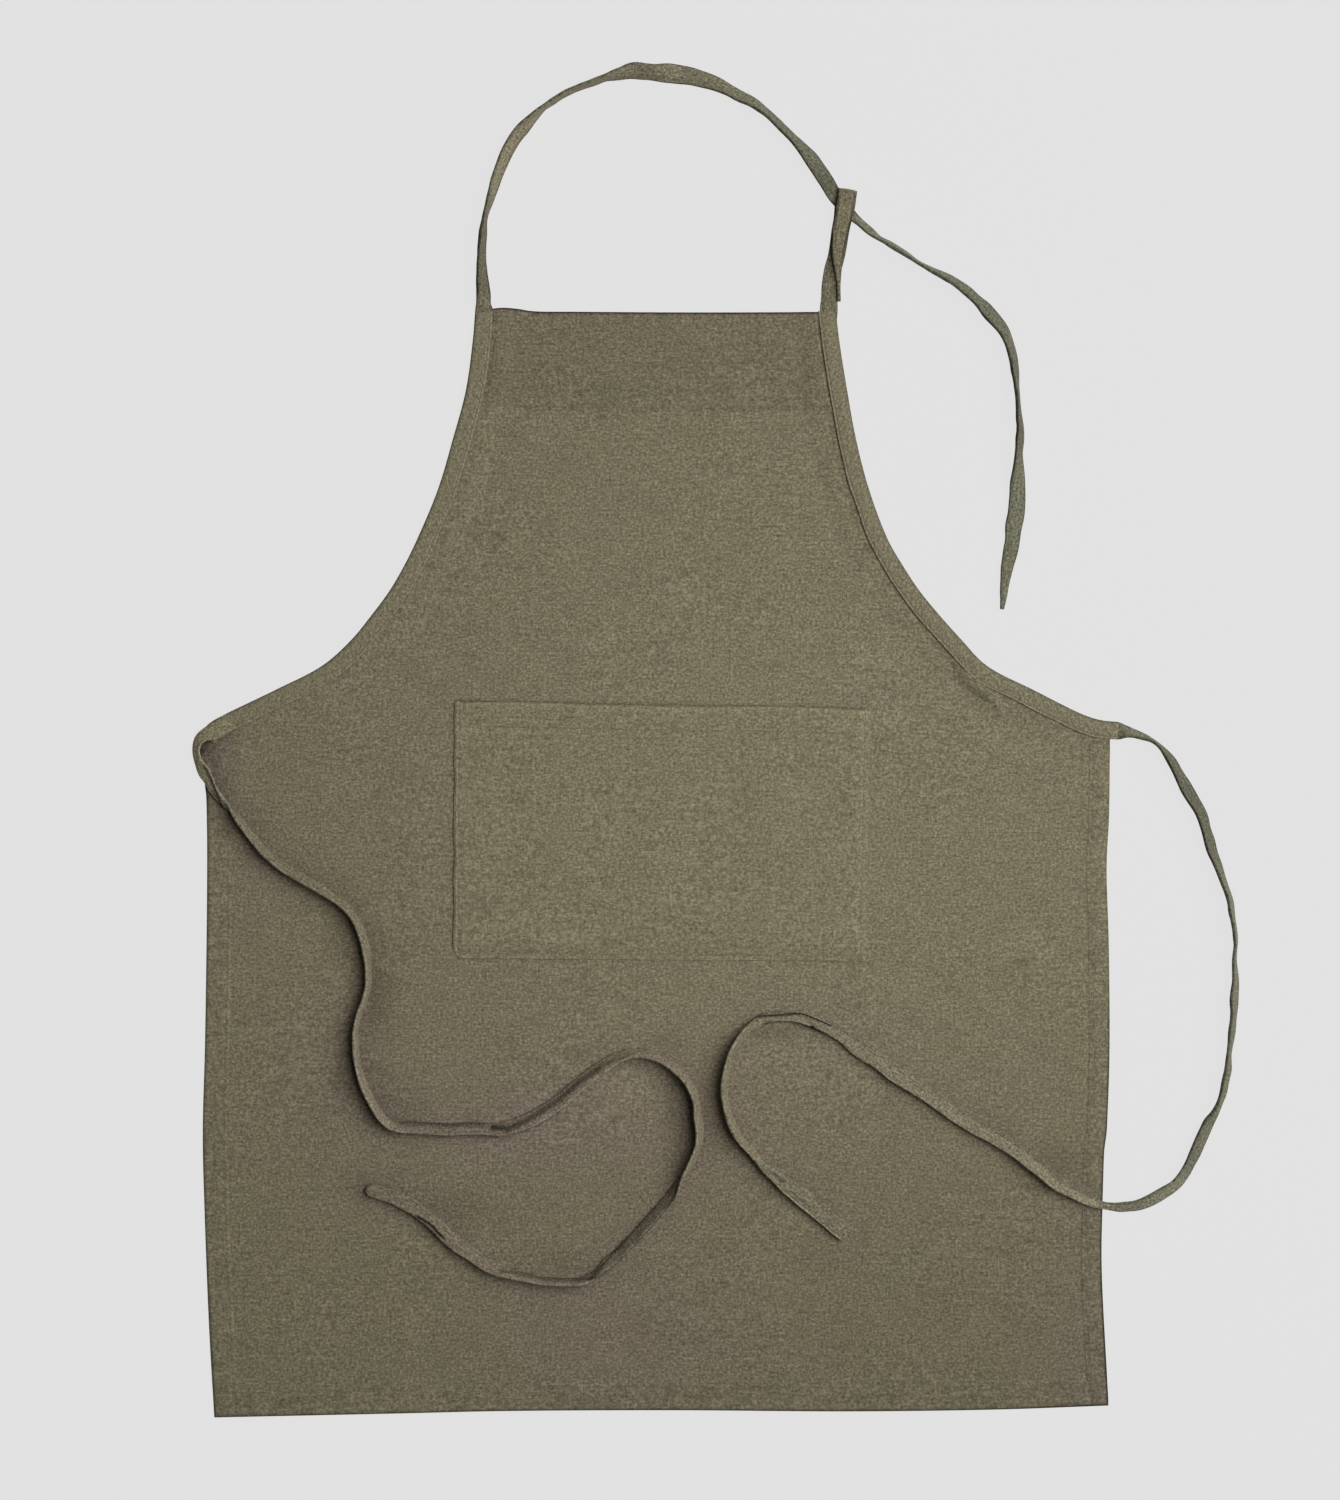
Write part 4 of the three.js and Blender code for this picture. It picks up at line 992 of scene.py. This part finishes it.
bindingShape = {
    "width": 14.0,
    "height": 3.6,
    "wall": 1.0,
    "stitchIn": 1.9,  # from the inner edge
    "pucker": 0.1,
    "puckerWave": 10.0,
    "endSoft": 10.0,
    "bias": 0.8,  # radians that the threads turn
    "step": 2.0,
}


def bindingRing():  # in from the fold, and up
    b = bindingShape
    w, h, t = b["width"], b["height"], b["wall"]
    half = h / 2
    fold = [(half * 0.82 * (1 - math.sin(a)), half - half * math.cos(a)) for a in np.linspace(0, math.pi, 9)]
    upper = [(d, h + 0.12 * math.sin(math.pi * d / w)) for d in (4, 6, 8, 9.6, w - 3.4)]
    seam = [(2.6, 0.02), (2.2, 0.2), (1.9, 0.28), (1.6, 0.2), (1.1, 0), (0.5, 0.12), (0.1, 0.42)]
    seam = [(w - d, h - drop) for d, drop in seam]
    edge = [(w, h - 0.7), (w - 0.15, h - t + 0.05), (w - 0.8, h - t)]
    inner = [(6, h - t), (1.6, h - t), (1.3, half), (1.6, t), (6, t), (w - 0.6, t), (w, t * 0.5),
             (w - 0.4, 0.05), (8, 0)]
    return np.array(fold + upper + seam + edge + inner)


def makeBinding(name, curve, side, seed):
    b = bindingShape
    line = evenly(curve, b["step"])
    run = lengthAlong(line)
    turn = ease(0, 12, run)[:, None]  # its top end is cut level
    inward = unitRows(np.array([[-side, 0.0]]) * (1 - turn) + inwardFrom(line, side) * turn)
    ring = bindingRing()
    closing = 1 - 0.3 * (1 - ease(0, b["endSoft"], run)) - 0.25 * (1 - ease(0, b["endSoft"], run[-1] - run))
    ripples = np.sin(run * 2 * math.pi / b["puckerWave"] + 2 * rippleAlong(run, 50, seed))
    z = b["height"] / 2 + (ring[None, :, 1] - b["height"] / 2) * closing[:, None]
    upper = ease(b["height"] * 0.5, b["height"] * 0.9, ring[:, 1])
    z = z + upper * b["pucker"] * ripples[:, None] * ease(3, 12, ring[:, 0])
    inAt = ring[None, :, 0] + 0.25 * rippleAlong(run, 40, seed + 1)[:, None] * ease(9, 14, ring[:, 0])
    flat = line[:, None] + inward[:, None] * inAt[..., None]
    points = np.concatenate([flat, np.broadcast_to(z, inAt.shape)[..., None]], -1)
    faces = tubeFaces(*inAt.shape)
    if side > 0:
        faces = [f[::-1] for f in faces]
    slant = 0.7 * run[:, None] + 0 * inAt  # cut on the bias
    weave = np.stack([slant + inAt * math.cos(b["bias"]), slant - inAt * math.sin(b["bias"]),
                      0 * inAt + 19.0 * seed], -1)
    inner = b["width"] - ring[:, 0]
    # paler along the fold's top and the inner edge: rubbing and painted highlights; painted shade on the
    # rounded fold and along the inner edge
    wear = np.broadcast_to(0.25 * near(ring[:, 0] - 3, 1.4) + 0.5 * near(inner - 0.9, 0.6), inAt.shape)
    tone = 1 - 0.55 * near(ring[:, 0], 1.3) - 0.1 * near(inner - b["stitchIn"], 0.5) - 0.2 * near(inner, 0.3)
    tone = np.broadcast_to(tone, inAt.shape)
    piece = makePiece(name, points.reshape(-1, 3), faces, bindingLinen, "binding_linen", weave.reshape(-1, 3),
                      tone=tone.ravel(), wear=wear.ravel())
    seamLine = line + inward * (b["width"] - b["stitchIn"])
    seamZ = b["height"] / 2 * (1 + closing) - 0.3 + b["pucker"] * ripples
    return piece, (np.column_stack([seamLine, seamZ]), np.tile(upward, (len(run), 1)))


bindingLeft, leftBindingSeam = makeBinding("armhole_binding_left_cloth", leftCurve, -1, 31)
bindingRight, rightBindingSeam = makeBinding("armhole_binding_right_cloth", rightCurve, 1, 35)
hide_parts("armhole_binding_left")
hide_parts("armhole_binding_right")
sew("binding_stitches", [leftBindingSeam, rightBindingSeam], "binding_linen")
print("bindings made")

# patch pocket, turned under on three sides, hemmed along its mouth


def pocketPoint(u, v):  # place in plan by its shares across and down
    u, v = np.asarray(u)[..., None], np.asarray(v)[..., None]
    mouth = np.array(k["topLeft"]) * (1 - u) + np.array(k["topRight"]) * u
    foot = np.array(k["bottomLeft"]) * (1 - u) + np.array(k["bottomRight"]) * u
    return mouth * (1 - v) + foot * v


pocketWide = k["topRight"][0] - k["topLeft"][0]
pocketDeep = k["topLeft"][1] - k["bottomLeft"][1]


def pocketSteps(length, first, last):  # close-set shares at both ends, evenly set between
    steps = set(np.round(np.arange(6.0, length - 6.0, k["grid"]), 2))
    steps.update(first)
    steps.update(length - d for d in last)
    return np.array(sorted(steps)) / length


def edgeDip(edge, away):
    depth, width = k[edge]
    return depth * (1 - ease(0, width, away))


# where its rows are set close, in from a sewn edge and from the mouth
edgeSpots = (0.0, 0.4, 0.9, 1.6, 2.6, 3.4, 4.0, 4.6, 5.4)
mouthSpots = (0.0, 0.4, 0.9, 1.8, 3.2, 17.4, 18.4, 19.0, 19.6)
shareU, shareV = np.meshgrid(pocketSteps(pocketWide, edgeSpots, edgeSpots),
                             pocketSteps(pocketDeep, mouthSpots, edgeSpots))
flat = pocketPoint(shareU, shareV)
flatX, flatY = flat[..., 0], flat[..., 1]
down, acrossIn = shareV * pocketDeep, np.minimum(shareU, 1 - shareU) * pocketWide
fromSide, upFromBottom = shareU * pocketWide, pocketDeep - down
fromRight, sewnAway = pocketWide - fromSide, np.minimum(acrossIn, upFromBottom)
corner = near(fromSide, 5) * near(upFromBottom, 5)  # the lower left corner is drawn in
flatX += 2.0 * corner + 0.5 * rippleAlong(flatY, 40, 55) * near(fromSide, 4)
flatY += 1.2 * corner
bowed = 0.5 * np.sin(shareU * math.pi * 3 + 0.5) * near(down, 40) + 0.3 * ripple(flatX, flatY, 90, 51)
flatY += bowed * near(down, 30)
base = panelHeight(flatX, flatY)[1]
mouth = near(down, 26) * ease(0, 60, acrossIn)
hemmed = 1 - ease(k["mouthHem"] - 0.8, k["mouthHem"] + 0.8, down)
face = base + k["clear"] + k["thick"] + k["mouthGape"] * mouth + k["mouthRise"] * hemmed
body = ease(6, 30, sewnAway)
face += body * (0.25 + 0.3 * ripple(flatX, flatY, 70, 52) + 0.1 * ripple(flatX, flatY, 30, 53))
puckers = [  # distance from the seam, place along it, how strong
    (sewnAway - k["stitchIn"], down + fromSide, 0.7),
    (down - k["mouthHem"], fromSide, 0.3),
]
for away, runAt, there in puckers:
    gather = np.sin(runAt * 2 * math.pi / k["puckerWave"] + 2 * rippleAlong(runAt, 50, 54))
    face += there * (0.1 * gather * near(away, 6) - 0.3 * near(away, 1.0))
face -= edgeDip("leftDip", fromSide) + edgeDip("mouthDip", down)
face -= np.maximum(edgeDip("rightDip", fromRight), edgeDip("footDip", upFromBottom))
back = base + k["clear"] + 1.0 * ease(k["rim"], k["rim"] + 1, sewnAway)
points, faces, kept = clothShell(flat, face, np.minimum(back, face - 0.4), 3)
# painted shade along the mouth's edge and on the right edge's slope, painted light on the left edge's slope;
# paler lines along the mouth and sides: rubbing and painted highlights
paint = {
    "tone": 1.06 - 0.04 * near(sewnAway - k["stitchIn"], 0.9) - 0.25 * near(down, 0.6)
    - 0.04 * near(fromRight - 3, 4) + 0.66 * near(fromSide - 1.0, 1.6),
    "wear": 0.35 * near(down - 2.2, 1.0) + 0.25 * near(fromSide - 2, 1.0) + 0.08 * near(fromRight - 1.5, 1.0),
}
threads = points + np.array([410.0, 230.0, 61.0])  # cut from another place in the cloth
pocket = makePiece("pocket_cloth", points, faces, pocketLinen, "pocket_linen", threads,
                   **bothFaces(paint, kept))
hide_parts("pocket")


def overPocket(u, v):  # a line on the pocket's face
    spot = pocketPoint(u, v)
    row = np.interp(v, shareV[:, 0], np.arange(len(shareV)))
    column = np.interp(u, shareU[0], np.arange(shareU.shape[1]))
    z = face[np.round(row).astype(int), np.round(column).astype(int)]
    return np.column_stack([spot, z + stitchShape["lift"]]), np.tile(upward, (len(u), 1))


inU, inV = k["stitchIn"] / pocketWide, k["stitchIn"] / pocketDeep
runV = np.linspace(0.01, 1 - inV, 100)
runU = np.linspace(inU, 1 - inU, 160)
pocketSeams = [
    overPocket(np.full_like(runV, inU), runV),
    overPocket(runU, np.full_like(runU, 1 - inV)),
    overPocket(np.full_like(runV, 1 - inU), runV),
    overPocket(runU, np.full_like(runU, k["mouthHem"] / pocketDeep)),
]
pocketStitches = sew("pocket_stitches", pocketSeams, "pocket_linen")
print("pocket made")

# hem stitches on the panel


def overPanel(x, y):  # a line on the panel's face
    z = panelHeight(x, y)[1] + stitchShape["lift"]
    return np.column_stack([x, y, z]), np.tile(upward, (len(x), 1))


runY = np.linspace(2, p["bottom"] + 8, 340)
runX = np.linspace(-338, 342, 340)
facingFoot = p["bibTop"] - p["bibHem"]
bibX = np.linspace(leftAt(facingFoot) + 13, rightAt(facingFoot) - 13, 140)
lipX = np.linspace(-125, 122, 130)
hemSeams = [
    overPanel(leftAt(runY) + p["leftHem"] - p["seamIn"], runY),
    overPanel(rightAt(runY) - p["rightHem"] + p["seamIn"], runY),
    overPanel(runX, bottomAt(runX) + p["bottomHem"] - p["seamIn"]),
    overPanel(bibX, topAt(bibX) - p["bibHem"] + p["seamIn"]),
    overPanel(lipX, topAt(lipX) - p["lipSeam"]),
]
hemStitches = sew("panel_stitches", hemSeams, "panel_linen")
print("hems stitched")

# pale floor, key light from the right and soft fill all round

stageLook = {
    "floor": "#e2e2e2",
    "reach": 60.0,  # m to each side, past what a low view takes in
    "glow": 0.97,  # share of the floor's brightness that no shadow darkens
    "keyAt": (2.5, 0.7, 3.0),
    "keySize": 4.2,
    "keyPower": 226.0,
    "keyColour": "#fffffd",
    "fill": 0.08,
    "fillColour": "#fffaf6",
}
floorMesh = bpy.data.meshes.new("floor")
reach = stageLook["reach"]
corners = [(-reach, -reach, 0), (reach, -reach, 0), (reach, reach, 0), (-reach, reach, 0)]
floorMesh.from_pydata(corners, [], [(0, 1, 2, 3)])
# Matt white board, evenly lit: no gloss, and nearly even brightness so that shadows stay faint.
floorPaint = bpy.data.materials.new("matt_white_floor")
floorPaint.use_nodes = True
paleness, glow = hexLinear(stageLook["floor"]), stageLook["glow"]
floorSockets = {
    "Base Color": tuple(c * (1 - glow) for c in paleness[:3]) + (1.0,),
    "Specular IOR Level": 0.0,
    "Roughness": 1.0,
    "Emission Color": paleness,
    "Emission Strength": glow,
}
for socket, value in floorSockets.items():
    floorPaint.node_tree.nodes["Principled BSDF"].inputs[socket].default_value = value
floorMesh.materials.append(floorPaint)
floor = bpy.data.objects.new("floor", floorMesh)
bpy.context.scene.collection.objects.link(floor)

keyData = bpy.data.lights.new("key", "AREA")
keyData.energy, keyData.size = stageLook["keyPower"], stageLook["keySize"]
keyData.color = hexLinear(stageLook["keyColour"])[:3]
key = bpy.data.objects.new("key", keyData)
key.location = stageLook["keyAt"]
key.rotation_euler = (-key.location).to_track_quat("-Z", "Y").to_euler()
bpy.context.scene.collection.objects.link(key)
world = bpy.data.worlds.new("soft_fill")
world.use_nodes = True
backdrop = world.node_tree.nodes["Background"].inputs
backdrop["Color"].default_value = hexLinear(stageLook["fillColour"])
backdrop["Strength"].default_value = stageLook["fill"]
bpy.context.scene.world = world
bpy.context.scene.view_settings.view_transform = "Standard"
print("stage set")
